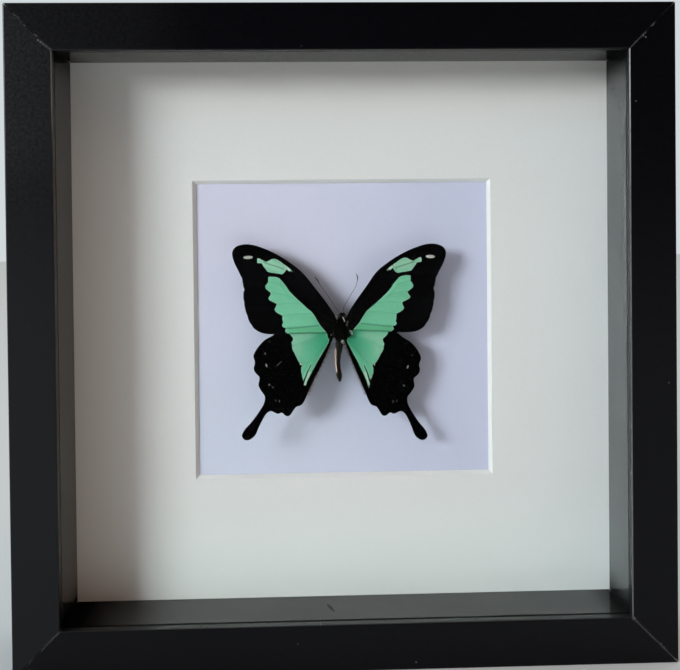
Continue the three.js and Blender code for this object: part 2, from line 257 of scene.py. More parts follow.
def knocked_through(look, at):
    """Bare specks of the foil: ragged along the mitres, and single chips on the face."""
    face = look.below(at.y, FACE_BACK)
    high = look.fade(at.z, 190.0, 236.0)
    weak = look.times(high, look.plus(0.05, look.times(at.on_right, 0.04)))
    near_lip = look.fade(at.inset, 4.0, 15.0, 0.0, 0.2)
    scuffed = look.minus(look.plus(look.noise(0.28, 3.0), near_lip), weak)
    width = look.fade(look.noise(1.7), 0.3, 0.7, 0.15, 0.5)
    off_mitre = look.size(look.minus(at.across, at.up))
    on_mitre = look.times(look.below(off_mitre, width), face)
    ragged = look.times(look.fade(scuffed, 0.44, 0.6), on_mitre)
    return look.most(ragged, look.times(look.marks(FRAME_CHIPS), face))


def lip_wear_and_highlight(look, at):
    """The lip's inner edge pale: rubbed foil, with a painted highlight that is strongest up the right rail.
    """
    # Painted highlight and wear: strongest up the right rail, where the lamp catches the edge.
    right_wear_and_highlight = look.times(at.on_right, look.fade(at.z, 170.0, 225.0, 0.35, 1.0))
    left_side = look.times(at.on_left, look.fade(at.z, 195.0, 215.0, 0.0, 0.4))
    lip = look.times(look.fade(at.inset, 17.2, 17.36), look.below(at.y, LIP_FRONT))
    patches = look.fade(look.noise(0.6), 0.2, 0.5, 0.5, 1.0)
    return look.times(lip, look.times(look.most(right_wear_and_highlight, left_side), patches))


def raw_back(look, at):
    """One where the rail's back is raw board, inside the foil's ragged edge."""
    ragged = look.times(look.noise(1.3, 4.0), 0.5)
    foil_edge = look.least(at.inset, look.minus(WALL_THICKNESS, at.inset))
    inside = look.fade(look.minus(foil_edge, ragged), 0.95, 1.1)
    return look.times(inside, look.above(at.y, RAIL_BACK))


def foil_gloss(look, at):
    """How much the foil mirrors: more on the lip, up the left rail and in the upper left corner."""
    worn = look.times(at.on_left, look.fade(at.z, 100.0, 236.0, 0.30, 0.40))
    lip = look.times(look.fade(at.inset, 17.3, 17.5), look.fade(at.z, 228.0, 231.0, 0.5, 0.1))
    return look.plus(look.most(look.most(0.17, lip), worn), look.times(look.marks(HAZE), 0.2))


def foil_material():
    """Black foil over fibreboard: satin, rubbed pale along mitres, pale on the lip from wear and a painted
    highlight, raw board at the back.
    """
    look = Look("black_foil", IOR=1.5)
    at = FramePlace(look)
    bare = raw_back(look, at)
    dust = look.times(look.fade(look.cells(0.11), 0.05, 0.03), look.fade(look.noise(0.045), 0.5, 0.62))
    colour = look.blend(look.noise(0.35, 5.0), (0.0008, 0.0008, 0.0018), (0.0026, 0.0026, 0.0046))
    colour = look.blend(look.times(knocked_through(look, at), 0.85), colour, (0.15, 0.15, 0.155))
    colour = look.blend(lip_wear_and_highlight(look, at), colour, (0.42, 0.42, 0.42))
    colour = look.blend(look.times(dust, 0.5), colour, (0.24, 0.24, 0.23))
    fibres = look.blend(look.noise(2.4, 6.0, roughness=0.7), (0.19, 0.115, 0.062), (0.42, 0.29, 0.175))
    look.set("Base Color", look.blend(bare, colour, fibres))
    satin = look.fade(look.noise(0.8, 6.0), 0.25, 0.75, 0.27, 0.34)
    look.set("Roughness", look.most(satin, look.times(bare, 0.9)))
    look.set("Specular IOR Level", foil_gloss(look, at))
    grain = look.noise(3.2, 4.0, roughness=0.6)
    look.bump(look.plus(grain, look.times(bare, look.noise(6.0, 5.0))), 0.02, 0.5)
    return look.material


def spacer_scuff(look, at):
    """One on the dull scuff of the bottom spacer: an ellipse with a ragged edge."""
    c, s = math.cos(SCUFF_TURN), math.sin(SCUFF_TURN)
    right, back = look.minus(at.x, SCUFF_PLACE[0]), look.minus(at.y, SCUFF_PLACE[1])
    along = look.minus(look.times(right, s), look.times(back, c))
    off = look.plus(look.times(right, c), look.times(back, s))
    reach = look.plus(look.maths("POWER", look.times(along, SCUFF_ALONG), 2.0),
                      look.maths("POWER", look.times(off, SCUFF_ACROSS), 2.0))
    inside = look.fade(look.plus(reach, look.noise(1.2)), 1.6, 1.0)
    return look.times(inside, look.below(at.z, BOTTOM_SPACER_TOP))


def spacer_material():
    """Smooth black foil with painted shade where two walls meet, painted reflected shade at the bottom
    strip's left end and painted reflected light on the right strip; one dull scuff.
    """
    look = Look("spacer_foil", IOR=1.5)
    at = FramePlace(look)
    scuff = spacer_scuff(look, at)
    # Painted shade in the corners, in colour and in gloss.
    corner = look.fade(look.least(at.across, at.up), 95.0, 106.0, 0.0, 0.9)
    # Painted reflected shade: the bottom strip darkens towards its left end.
    painted_reflected_shade = look.times(look.fade(at.x, -66.0, -102.0), look.below(at.z, BOTTOM_SPACER_TOP))
    dark = look.most(corner, painted_reflected_shade)
    streaks = look.noise(0.5, 4.0, at=look.stretched((1.0, 0.15, 1.0)))
    foil = look.blend(streaks, (0.015, 0.016, 0.016), (0.024, 0.025, 0.026))
    # Painted reflected light: the right strip is paler.
    foil = look.blend(look.fade(at.x, 101.0, 105.0), foil, (0.066, 0.072, 0.073))
    foil = look.blend(dark, foil, (0.002, 0.002, 0.002))
    look.set("Base Color", look.blend(scuff, foil, (0.010, 0.013, 0.012)))
    gloss = look.fade(at.z, 205.0, 230.0, 0.5, 0.36)
    look.set("Specular IOR Level", look.times(gloss, look.minus(1.0, dark)))
    satin = look.fade(look.noise(0.6, 5.0), 0.3, 0.7, 0.15, 0.21)
    look.set("Roughness", look.plus(satin, look.times(scuff, 0.5)))
    look.bump(look.noise(2.5, 4.0), 0.008, 0.4)
    return look.material


def glass_material():
    """Clear pane that lets lamplight straight through, so that it casts no dark shadow. Its IOR is
    far below real glass, because the photo shows almost no reflection."""
    look = Look("clear_glass", IOR=1.04, Transmission_Weight=1.0, Roughness=0.0)
    look.set("Base Color", (0.985, 1.0, 0.99))
    through = look.node("BsdfTransparent")
    look.feed(through.inputs["Color"], (0.97, 0.985, 0.975))
    mix = look.node("MixShader")
    look.feed(mix.inputs[0], look.node("LightPath").outputs["Is Shadow Ray"])
    look.feed(mix.inputs[1], look.shader.outputs[0])
    look.feed(mix.inputs[2], through.outputs[0])
    look.feed(look.tree.nodes["Material Output"].inputs["Surface"], mix.outputs[0])
    return look.material


def mat_material():
    """White mat board, lightly pebbled, with painted warm shade at the left and top and painted cool,
    brighter light at the foot.
    """
    look = Look("mat_board", Roughness=0.92, IOR=1.4)
    x, _, z = look.axes()
    fibre = look.noise(1.6, 6.0, roughness=0.65)
    paper = look.blend(fibre, (0.735, 0.738, 0.740), (0.830, 0.825, 0.830))
    clouded = look.blend(look.times(look.noise(0.03, 3.0), 0.5), paper, (0.765, 0.755, 0.755))
    # Painted light: cooler and brighter towards the foot.
    painted_cool_light = look.blend(look.fade(z, 70.0, 25.0, 0.0, 0.85), clouded, (0.830, 0.880, 0.870))
    # Painted shade: warmer and darker at the left and top.
    painted_warm_shade = look.most(look.fade(x, -68.0, -98.0), look.fade(z, 200.0, 222.0, 0.0, 0.8))
    look.set("Base Color", look.blend(painted_warm_shade, painted_cool_light, (0.755, 0.708, 0.688)))
    look.bump(look.plus(fibre, look.noise(0.7, 3.0)), 0.06, 0.35)
    return look.material


def card_material():
    """Linen-finish card: two crossed sets of fine threads pressed into it, with painted light greener towards
    the foot and painted shade towards the right.
    """
    look = Look("linen_card", Roughness=0.9, IOR=1.4)
    x, _, z = look.axes()
    threads_per_mm = 1.6
    wander = look.times(look.noise(0.25, 2.0), 2.4)

    def threads(axis):
        angle = look.times(look.plus(axis, wander), threads_per_mm * 2 * math.pi)
        return look.times(look.plus(look.maths("SINE", angle), 1.0), 0.5)

    weave = look.plus(look.times(threads(x), 0.5), look.times(threads(z), 0.5))
    slub = look.noise(0.9, 3.0, at=look.stretched((3.0, 1.0, 0.25)))
    pattern = look.plus(look.times(weave, 0.6), look.times(slub, 0.4))
    # Lit and shaded copies of the card: painted light greener towards the foot, painted shade darker and
    # bluer towards the right.
    upper = look.blend(pattern, (0.645, 0.638, 0.800), (0.715, 0.705, 0.865))
    lower = look.blend(pattern, (0.615, 0.648, 0.800), (0.685, 0.718, 0.865))
    right = look.blend(pattern, (0.560, 0.575, 0.750), (0.620, 0.635, 0.810))
    left = look.blend(look.fade(z, 70.0, 170.0), lower, upper)
    look.set("Base Color", look.blend(look.fade(x, -40.0, 60.0), left, right))
    look.bump(pattern, 0.05, 0.4)
    return look.material


def hardboard_material():
    """Brown hardboard with pale flecks and the screen's mark pressed into it."""
    look = Look("hardboard", IOR=1.45)
    x, _, z = look.axes()
    screen_turn = 5.2
    fibres = look.noise(1.9, 7.0, roughness=0.75)
    flecks = look.fade(look.noise(0.8, 3.0, at=look.stretched((1.0, 1.0, 3.0))), 0.56, 0.66)
    brown = look.blend(fibres, (0.16, 0.088, 0.042), (0.36, 0.22, 0.12))
    look.set("Base Color", look.blend(look.times(flecks, 0.4), brown, (0.47, 0.33, 0.20)))
    look.set("Roughness", look.fade(fibres, 0.3, 0.7, 0.62, 0.8))
    rows, columns = (look.maths("SINE", look.times(axis, screen_turn)) for axis in (x, z))
    screen = look.times(rows, columns)
    look.bump(look.plus(fibres, look.times(screen, 0.5)), 0.12, 0.5)
    return look.material


def steel_material():
    look = Look("zinc_steel", Metallic=1.0)
    brushed = look.noise(1.5, 4.0, at=look.stretched((0.3, 6.0, 6.0)))
    look.set("Base Color", look.blend(look.noise(0.35, 5.0), (0.40, 0.41, 0.42), (0.62, 0.63, 0.63)))
    look.set("Roughness", look.fade(brushed, 0.3, 0.7, 0.26, 0.44))
    look.bump(brushed, 0.02, 0.4)
    return look.material


def foam_material():
    look = Look("foam_block", Roughness=0.95)
    pores = look.cells(3.2)
    look.set("Base Color", look.blend(pores, (0.60, 0.59, 0.56), (0.80, 0.79, 0.75)))
    look.bump(pores, 0.15, 0.6)
    return look.material


def floor_material():
    look = Look("pale_floor", Roughness=0.8)
    look.set("Base Color", look.blend(look.noise(0.02, 4.0), (0.87, 0.93, 0.96), (0.91, 0.96, 0.98)))
    return look.material


# ---------------------------------------------------------------- materials of the butterfly

def wing_green(look, depth, scales, torn):
    """The bands' green: paler at the rim and along pale lines, darker near the body and at veins, with
    painted shade in the fold, the creases and along the overlapping edge.
    """
    green = look.blend(look.noise(0.55, 3.0), (0.160, 0.480, 0.300), (0.195, 0.535, 0.350))
    # Painted shade where the forewing bends down over the hindwing.
    green = look.blend(look.times(look.attribute("painted_fold_shade"), 0.7), green, (0.105, 0.390, 0.200))
    green = look.blend(look.attribute("deep"), green, (0.036, 0.300, 0.160))
    green = look.blend(look.fade(depth, 0.03, 0.42, 0.55, 0.0), green, (0.370, 0.620, 0.470))
    green = look.blend(look.fade(scales, 0.35, 0.75, 0.0, 0.16), green, (0.05, 0.33, 0.19))
    green = look.blend(look.fade(look.attribute("vein"), 0.05, 0.28, 0.24, 0.0), green, (0.05, 0.27, 0.16))
    green = look.blend(look.attribute("pale"), green, (0.50, 0.66, 0.54))
    # Painted shade in the creases and along the forewing's overlapping edge.
    crease_shade = look.fade(look.plus(look.attribute("shaded_crease"), torn), 0.0, 0.5, 0.5, 0.0)
    return look.blend(crease_shade, green, (0.012, 0.070, 0.040))


def wing_ground(look, scales, ragged, black, sheen):
    """The black between the bands: brown at the root, with pale powdered spots."""
    ground = look.blend(scales, black, sheen)
    ground = look.blend(look.fade(look.attribute("root"), 0.0, 11.0, 0.4, 0.0), ground, (0.008, 0.006, 0.005))
    powder = look.fade(look.plus(look.attribute("powder"), ragged), -0.06, 0.06)
    grey = look.blend(look.attribute("light"), (0.0, 0.0, 0.0), (1.0, 1.0, 0.97))
    return look.blend(powder, ground, grey)


def wing_material(name, black, sheen):
    """Scale-covered wing: black ground, apple green bands, cream spots, all with ragged scale edges."""
    look = Look(name, IOR=1.4, Specular_IOR_Level=0.0)
    scales = look.noise(7.0, 2.0)
    ragged = look.times(look.minus(scales, 0.5), 0.14)
    torn = look.times(look.minus(look.noise(2.2, 3.0), 0.5), 0.5)
    depth = look.plus(look.attribute("green"), look.plus(ragged, torn))
    ground = wing_ground(look, scales, ragged, black, sheen)
    colour = look.blend(look.fade(depth, -0.035, 0.035), ground, wing_green(look, depth, scales, torn))
    spot = look.fade(look.plus(look.attribute("cream"), ragged), -0.06, 0.06)
    look.set("Base Color", look.blend(spot, colour, (0.47, 0.48, 0.44)))
    look.set("Roughness", look.fade(scales, 0.2, 0.8, 0.62, 0.82))
    rows = look.noise(5.0, 1.0, at=look.stretched((1.0, 1.0, 2.5)))
    look.bump(look.plus(scales, rows), 0.03, 0.45)
    return look.material


def hair_material(name, dark, tip, pale):
    """Fur: dark at the root, lighter at the tip, with pale tufts where the attribute says so."""
    look = Look(name, Roughness=0.8, Specular_IOR_Level=0.15)
    colour = look.blend(look.attribute("along"), dark, tip)
    colour = look.blend(look.times(look.attribute("shade"), 0.5), colour, dark)
    look.set("Base Color", look.blend(look.attribute("pale"), colour, pale))
    look.bump(look.noise(9.0, 2.0), 0.02, 0.4)
    return look.material


def skin_material(name, dark, light, pale=(0.50, 0.36, 0.25)):
    """Chitin under the fur, with a pale flank where the attribute says so."""
    look = Look(name, IOR=1.5, Specular_IOR_Level=0.2)
    mottle = look.noise(2.2, 5.0)
    ragged = look.plus(look.attribute("pale"), look.times(look.noise(4.0), 0.4))
    look.set("Base Color", look.blend(look.fade(ragged, 0.55, 0.8), look.blend(mottle, dark, light), pale))
    look.set("Roughness", look.fade(mottle, 0.3, 0.7, 0.42, 0.6))
    look.bump(look.noise(6.0, 4.0), 0.05, 0.5)
    return look.material


def horn_material(name):
    """The antennae's dark, faintly ringed horn."""
    look = Look(name, Roughness=0.45)
    look.set("Base Color", look.blend(look.noise(4.0, 2.0), (0.004, 0.004, 0.005), (0.016, 0.013, 0.012)))
    look.bump(look.noise(10.0), 0.02, 0.5)
    return look.material


def eye_material():
    look = Look("compound_eye", Coat_Weight=0.6, Coat_Roughness=0.15, Roughness=0.3)
    facets = look.cells(11.0)
    look.set("Base Color", look.blend(facets, (0.050, 0.028, 0.022), (0.012, 0.008, 0.008)))
    look.bump(facets, 0.03, 0.7)
    return look.material


# ---------------------------------------------------------------- meshes

# Corners nearer than this, in metres, are one
SAME_POINT = 1e-6
# Edges under the first angle are left out, and edges over the second are rounded
FLAT_ANGLE, SHARP_ANGLE = math.radians(1), math.radians(35)


def add_piece(name, mesh, materials, replaces=()):
    for material in materials:
        mesh.materials.append(material)
    piece = bpy.data.objects.new(name, mesh)
    bpy.context.scene.collection.objects.link(piece)
    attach(piece, "root")
    if replaces:
        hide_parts(*replaces)
    return piece


def mesh_from(name, points, faces, attributes=()):
    """A mesh from points in millimetres. attributes is {name: one number for each point}."""
    mesh = bpy.data.meshes.new(name)
    mesh.from_pydata((np.asarray(points) * MM).tolist(), [], faces)
    for key, values in dict(attributes).items():
        layer = mesh.attributes.new(key, "FLOAT", "POINT")
        layer.data.foreach_set("value", np.asarray(values, np.float32))
    mesh.polygons.foreach_set("use_smooth", np.full(len(mesh.polygons), True))
    mesh.update()
    return mesh


def join(parts):
    """One set of points, faces, attributes and material numbers from several."""
    points, faces, numbers = [], [], []
    attributes = {key: [] for part in parts for key in part.get("attributes", {})}
    start = 0
    for part in parts:
        count = len(part["points"])
        points.append(np.asarray(part["points"]))
        faces += [[start + i for i in face] for face in part["faces"]]
        numbers += [part.get("material", 0)] * len(part["faces"])
        for key, values in attributes.items():
            values.append(np.asarray(part.get("attributes", {}).get(key, np.zeros(count))))
        start += count
    return np.concatenate(points), faces, {k: np.concatenate(v) for k, v in attributes.items()}, numbers


def add_joined(name, parts, materials, replaces=()):
    points, faces, attributes, numbers = join(parts)
    mesh = mesh_from(name, points, faces, attributes)
    mesh.polygons.foreach_set("material_index", numbers)
    return add_piece(name, mesh, materials, replaces)


def bevelled_copy(node, name, width, material, segments=3):
    """The CAD node's shape with its sharp edges rounded by width."""
    shape = bmesh.new()
    shape.from_mesh(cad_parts[node].data)
    bmesh.ops.remove_doubles(shape, verts=shape.verts, dist=SAME_POINT)
    bmesh.ops.dissolve_limit(shape, angle_limit=FLAT_ANGLE, verts=shape.verts, edges=shape.edges)
    sharp = [e for e in shape.edges if len(e.link_faces) == 2 and e.calc_face_angle() > SHARP_ANGLE]
    bmesh.ops.bevel(shape, geom=sharp, offset=width * MM, segments=segments, profile=0.5,
                    affect="EDGES", clamp_overlap=True)
    bmesh.ops.recalc_face_normals(shape, faces=shape.faces)
    mesh = bpy.data.meshes.new(name)
    shape.to_mesh(mesh)
    shape.free()
    mesh.polygons.foreach_set("use_smooth", np.full(len(mesh.polygons), True))
    piece = add_piece(name, mesh, [material], [node])
    piece.modifiers.new("even_normals", "WEIGHTED_NORMAL").keep_sharp = True
    return piece


# ---------------------------------------------------------------- the frame and what it holds

def add_frame():
    foil, spacer, steel = foil_material(), spacer_material(), steel_material()
    for side in ("bottom", "left", "top", "right"):
        bevelled_copy(f"rail_{side}", f"frame_rail_{side}", 0.14, foil)
        bevelled_copy(f"spacer_{side}", f"spacer_strip_{side}", 0.12, spacer)
        for i in (1, 2):
            bevelled_copy(f"tab_{side}_{i}", f"bend_tab_{side}_{i}", 0.1, steel, 2)
    bevelled_copy("sawtooth_hanger", "hanger_plate", 0.1, steel, 2)
    for i in (1, 2):
        bevelled_copy(f"hanger_nail_{i}", f"nail_{i}", 0.08, steel, 2)
    bevelled_copy("glass_pane", "front_glass", 0.12, glass_material())
    bevelled_copy("mat_board", "window_mat", 0.06, mat_material())
    bevelled_copy("backing_card", "linen_backing", 0.05, card_material())
    bevelled_copy("backboard", "hardboard_back", 0.15, hardboard_material())
    bevelled_copy("mounting_block", "foam_mount", 0.2, foam_material(), 2)


# ---------------------------------------------------------------- flat outlines

def smooth_line(points, per_step=6, closed=False):
    """Catmull-Rom curve through the points, with per_step points from each one to the next."""
    given = np.asarray(points, float)
    count = len(given)
    steps = count if closed else count - 1
    made = []
    for i in range(steps):
        index = [(i + k) % count if closed else min(max(i + k, 0), count - 1) for k in (-1, 0, 1, 2)]
        p0, p1, p2, p3 = given[index]
        for t in np.arange(per_step) / per_step:
            made.append(0.5 * (2 * p1 + (p2 - p0) * t + (2 * p0 - 5 * p1 + 4 * p2 - p3) * t**2
                               + (3 * p1 - p0 - 3 * p2 + p3) * t**3))
    if not closed:
        made.append(given[-1])
    return np.array(made)


def even_line(points, step, closed=False):
    """The same line with points every step."""
    line = np.asarray(points, float)
    if closed:
        line = np.vstack([line, line[:1]])
    along = np.concatenate([[0], np.cumsum(np.linalg.norm(np.diff(line, axis=0), axis=1))])
    count = max(2, round(along[-1] / step) + 1)
    places = np.linspace(0, along[-1], count)
    made = np.column_stack([np.interp(places, along, line[:, k]) for k in (0, 1)])
    return made[:-1] if closed else made


def distance_to(points, line, closed=False):
    """How far each point is from the line."""
    ends = np.roll(line, -1, axis=0) if closed else line[1:]
    nearest = np.full(len(points), np.inf)
    for a, b in zip(line, ends):
        run = b - a
        share = np.clip((points - a) @ run / max(run @ run, 1e-12), 0, 1)
        nearest = np.minimum(nearest, np.linalg.norm(points - a - share[:, None] * run, axis=1))
    return nearest


def is_inside(points, loop):
    inside = np.zeros(len(points), bool)
    for a, b in zip(loop, np.roll(loop, -1, axis=0)):
        if a[1] == b[1]:
            continue
        crossed = (a[1] > points[:, 1]) != (b[1] > points[:, 1])
        at = a[0] + (points[:, 1] - a[1]) * (b[0] - a[0]) / (b[1] - a[1])
        inside ^= crossed & (points[:, 0] < at)
    return inside


# What depth_in gives where there is no loop at all
NOWHERE = -99.0


def depth_in(points, loops):
    """How far each point is inside the nearest of the loops; negative outside."""
    best = np.full(len(points), NOWHERE)
    for loop in loops:
        off = distance_to(points, loop, True)
        best = np.maximum(best, np.where(is_inside(points, loop), off, -off))
    return best


def triangle_grid(low, high, step):
    """Points every step, in rows that are offset by half a step, as in a sheet of equal triangles."""
    row = step * math.sqrt(3) / 2
    return np.array([
        (low[0] + (i + 0.5 * (j % 2)) * step, low[1] + j * row)
        for j in range(int((high[1] - low[1]) / row) + 1)
        for i in range(int((high[0] - low[0]) / step) + 1)
    ])


def fill(loop, lines, step):
    """Triangles that fill the loop, with corners every step and edges along the lines."""
    fixed = [loop]
    edges = [(i, (i + 1) % len(loop)) for i in range(len(loop))]
    clear_of = [np.vstack([loop, loop[:1]])]
    start = len(loop)
    for line in lines:
        kept = is_inside(line, loop) & (distance_to(line, loop, True) > step / 2)
        edges += [(start + i, start + i + 1) for i in range(len(line) - 1) if kept[i] and kept[i + 1]]
        fixed.append(line)
        start += len(line)
        if kept.sum() > 1:
            clear_of.append(line[kept])
    grid = triangle_grid(loop.min(0), loop.max(0), step)
    free = is_inside(grid, loop)
    for line in clear_of:
        free &= distance_to(grid, line) > GRID_CLEARANCE * step
    corners = np.vstack([*fixed, grid[free]])
    made = geometry.delaunay_2d_cdt([Vector(p) for p in corners], edges, [], 0, 1e-5, False)
    points = np.array([tuple(p) for p in made[0]])
    faces = np.array([tuple(f) for f in made[2]])
    faces = faces[is_inside(points[faces].mean(axis=1), loop)]
    used = np.unique(faces)
    renumber = np.zeros(len(points), int)
    renumber[used] = np.arange(len(used))
    return points[used], renumber[faces]


def cad_outline(node):
    """The front outline of a flat CAD node, in the specimen's own x and z."""
    shape = bmesh.new()
    shape.from_mesh(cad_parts[node].data)
    bmesh.ops.remove_doubles(shape, verts=shape.verts, dist=SAME_POINT)
    shape.normal_update()
    front = {f for f in shape.faces if f.normal.y < -0.9}
    follows = {}
    for face in front:
        for corner in face.loops:
            neighbours = [f for f in corner.edge.link_faces if f is not face]
            if all(f not in front for f in neighbours):
                follows[corner.vert.index] = corner.link_loop_next.vert.index
    shape.verts.ensure_lookup_table()
    start = min(follows)
    order = [start]
    while follows[order[-1]] != start:
        order.append(follows[order[-1]])
    loop = np.array([(shape.verts[i].co.x, shape.verts[i].co.z) for i in order]) / MM
    shape.free()
    return loop - (SPECIMEN.x, SPECIMEN.z)


# ---------------------------------------------------------------- wings

# Markings and veins are drawn for the left side: x out from the body, z up from the thorax
FORE_BAND = [
    (28.5, 21.3), (26.5, 21.3), (25, 21), (24, 20.5), (23.1, 19.3), (22, 18), (20.2, 15.2),
    (17.5, 12.5), (14.5, 9.7), (11.3, 6.9), (10.1, 4.9), (8.5, 2.1), (6.9, 0.2), (5.2, -2), (5, -3),
    (21, -3), (21, -1.2), (22.4, -0.2), (21.7, 1.1), (22.9, 1.3), (23.5, 2), (22.9, 3.2), (23.3, 4.5),
    (23.1, 6), (24.5, 6.6), (25.8, 7.5), (26.3, 8.3), (25.5, 10), (25.5, 10.7), (27, 11.4),
    (28.3, 12.1), (28.8, 12.8), (27.8, 14), (27.6, 15), (28.9, 15.9), (29.7, 16.6), (29.8, 17.7),
    (28.6, 19.2), (28.7, 20.5),
]
FORE_PATCH = [
    (32.9, 28.6), (32.9, 26.8), (31, 26.6), (30.6, 25.6), (29.8, 24.5), (28.8, 23.2), (26, 22.7),
    (23.2, 22.3), (22.3, 22.9), (21.6, 24), (21.7, 25.6), (23.5, 27), (25, 28), (26, 28.4),
    (27.3, 28.2), (28.2, 27.6), (29.3, 27.2), (30.2, 27.5), (31.5, 28.2), (32.4, 28.7),
]
FORE_STREAK = [(21.8, 25.7), (20.8, 25), (19.6, 23.9), (19.1, 23.2), (20.4, 23.4), (21.6, 24.5)]
APEX_SPOT = {"centre": (36.5, 29), "half": (1.86, 0.62), "turn": -0.03}
HIND_BAND = [
    (5.2, 4), (21, 4), (21, -1), (19.8, -2.3), (19.1, -3), (19.3, -4), (20, -4.9), (19.6, -5.8),
    (19.7, -7), (19, -8.5), (17.8, -11), (17.2, -12.3), (16.6, -12.9), (15.7, -12.8), (15.6, -14),
    (16.1, -15), (16.1, -16.5), (15.8, -18), (15.4, -20.2), (15.0, -19.5), (13.75, -16.4),
    (12.3, -13.7), (12.0, -13.8), (13.35, -16.6), (14.5, -19.7), (15.1, -21.4), (14.75, -23.1),
    (13.8, -20.4), (11.8, -16.5), (9.6, -12.6), (7.4, -9), (5, -5.1), (4.8, -4), (5.3, -3), (5.6, -1.5),
]
HIND_SLIT = [(15, -20.2), (14.75, -19.6), (13.55, -16.5), (12.15, -13.75)]
HIND_NICK = {"centre": (16.4, -13.35), "half": (0.3, 0.48), "turn": 0.2}
# Powdered spots on the black of the hindwing, with how much light each throws back on the left
# wing and on the right, where some are missing
HIND_POWDER = [
    ({"centre": (30.5, -9.1), "half": (0.25, 0.5), "turn": 0.0}, 0.17, 0.0),
    ({"centre": (31.4, -9.0), "half": (0.25, 0.5), "turn": 0.0}, 0.0, 0.055),
    ({"centre": (30.0, -13.8), "half": (0.26, 0.75), "turn": -0.32}, 0.36, 0.34),
    ({"centre": (25, -13.2), "half": (1.6, 0.12), "turn": -0.76}, 0.15, 0.0),
    ({"centre": (28.9, -21.4), "half": (0.36, 0.4), "turn": 0.0}, 0.24, 0.13),
    ({"centre": (27.4, -22.5), "half": (0.32, 0.34), "turn": 0.0}, 0.12, 0.0),
    ({"centre": (26.4, -27.7), "half": (0.2, 0.48), "turn": 0.0}, 0.12, 0.09),
    ({"centre": (24.9, -28), "half": (0.2, 0.55), "turn": 0.0}, 0.16, 0.11),
    ({"centre": (28.8, -4.4), "half": (0.8, 0.14), "turn": 0.35}, 0.06, 0.03),
]
# Creases with painted shade over the green, and lines along which it is paler, with reach and strength
FORE_CREASES = [
    [(21.5, 0.9), (18.3, 1.05), (14.4, 1.4), (9.2, 1.9)],
    [(30.2, 27.2), (29.4, 26.6), (25.9, 25.5), (22.4, 24.3)],
]
FORE_PALE = [
    ([(19.4, 23.5), (21.5, 25.1)], 0.9, 0.95), ([(32.5, 28.3), (32.7, 27.3)], 0.7, 0.7),
    ([(24, 25.4), (30, 26.6)], 3.0, 0.38),
]
HIND_PALE = [
    ([(16.4, -13.1), (16.4, -13.6)], 0.4, 1.0),
    ([(12.9, -17), (14.2, -20), (14.8, -22.6)], 0.45, 0.85),
    ([(13, -1.5), (17.5, -3), (18, -8)], 2.5, 0.22),
]
# Small notches in the forewing's outer edge
FORE_NOTCHES = [(38.9, 20.9), (38.2, 16.4), (37.9, 11.4), (36.8, 6), (35.9, 1.9)]
NOTCH_DEPTH, NOTCH_HALF = 0.4, 0.6
# Where the hindwing's inner edge has a fringe of hairs
FRINGE = [(3.4, -5.1), (4.8, -7.9), (6.6, -11), (8.4, -14.6), (10.4, -18.5), (12.1, -22), (13.7, -25.5)]
FRINGE_HAIRS, FRINGE_LENGTH, FRINGE_RADIUS = 420, 1.0, 0.035
FRINGE_STEP, FRINGE_SETBACK, FRINGE_WIDTH, FRINGE_SCATTER = 0.05, 0.25, 0.4, 0.18
FORE_VEINS = [
    [(3, 3.8), (9, 11), (15, 17.6), (20, 22), (23, 24), (28, 26.2), (35, 28), (42.4, 29.6)],
    [(3, 3), (10, 6.6), (15.5, 10.2), (19.5, 13), (22.6, 16.2), (23.8, 19.4), (23, 24)],
    [(3, 4.2), (9, 13), (15, 20.6), (21, 26.4), (26, 30.2)],
    [(17, 19.6), (24, 26.4), (31, 31.2), (36.6, 34)],
    [(28, 26.2), (34, 30.6), (40, 33.3)],
    [(23.6, 21.2), (28.5, 22), (34, 23.6), (41, 26.2)],
    [(23.2, 17.6), (26.5, 18.8), (29, 19.4), (34, 20), (39, 20.8)],
    [(19.5, 13), (23, 14.3), (27.6, 15), (33, 15), (38.4, 15)],
    [(15.5, 10.2), (20, 10.8), (25.5, 10.3), (31, 9.7), (38, 9.4)],
    [(10, 6.6), (16, 6.7), (23.1, 6), (30, 4.8), (36.8, 4.2)],
    [(3, 1.6), (12, 1.8), (22.9, 1.3), (30, 0.6), (34.8, 0.8)],
]
HIND_VEINS = [
    [(4, 0), (12, 1.4), (20, 0.6), (27, -2.4), (31.6, -4.6)],
    [(4, -1), (10, -2.6), (17.5, -5.4), (24, -7), (30, -9.8), (34.9, -11)],
    [(17.5, -5.4), (18.2, -9), (17.2, -11.6), (14.8, -13.2), (11, -10.8), (4, -2.2)],
    [(18.2, -9), (24, -12), (30, -15.6), (33.2, -17.5)],
    [(17.2, -11.6), (22.4, -16), (28, -20.4), (32, -24)],
    [(14.8, -13.2), (19.8, -19), (26, -26.4), (30, -32), (34, -37.6), (38, -42)],
    [(12.6, -12.2), (16, -18), (19.8, -25), (23.8, -32.6)],
    [(7.5, -7), (11.5, -13), (15, -19.4), (18, -26), (19.4, -31.4)],
    [(3.6, -3), (7.4, -11), (12, -20.6), (15.6, -28.8)],
]
AS_DRAWN = {"scale": 1.0, "turn": 0.0, "shift": (0.0, 0.0), "tilt": 0.0}
RIGHT_FORE = {"scale": 0.991, "turn": -0.03, "shift": (-1.4, 0.9), "tilt": 0.0}
LEFT_HIND = {"scale": 0.98, "turn": 0.0, "shift": (0.25, 0.0), "tilt": math.radians(8)}
RIGHT_HIND = {"scale": 0.984, "turn": -0.07, "shift": (-2.25, 0.35), "tilt": 0.0}
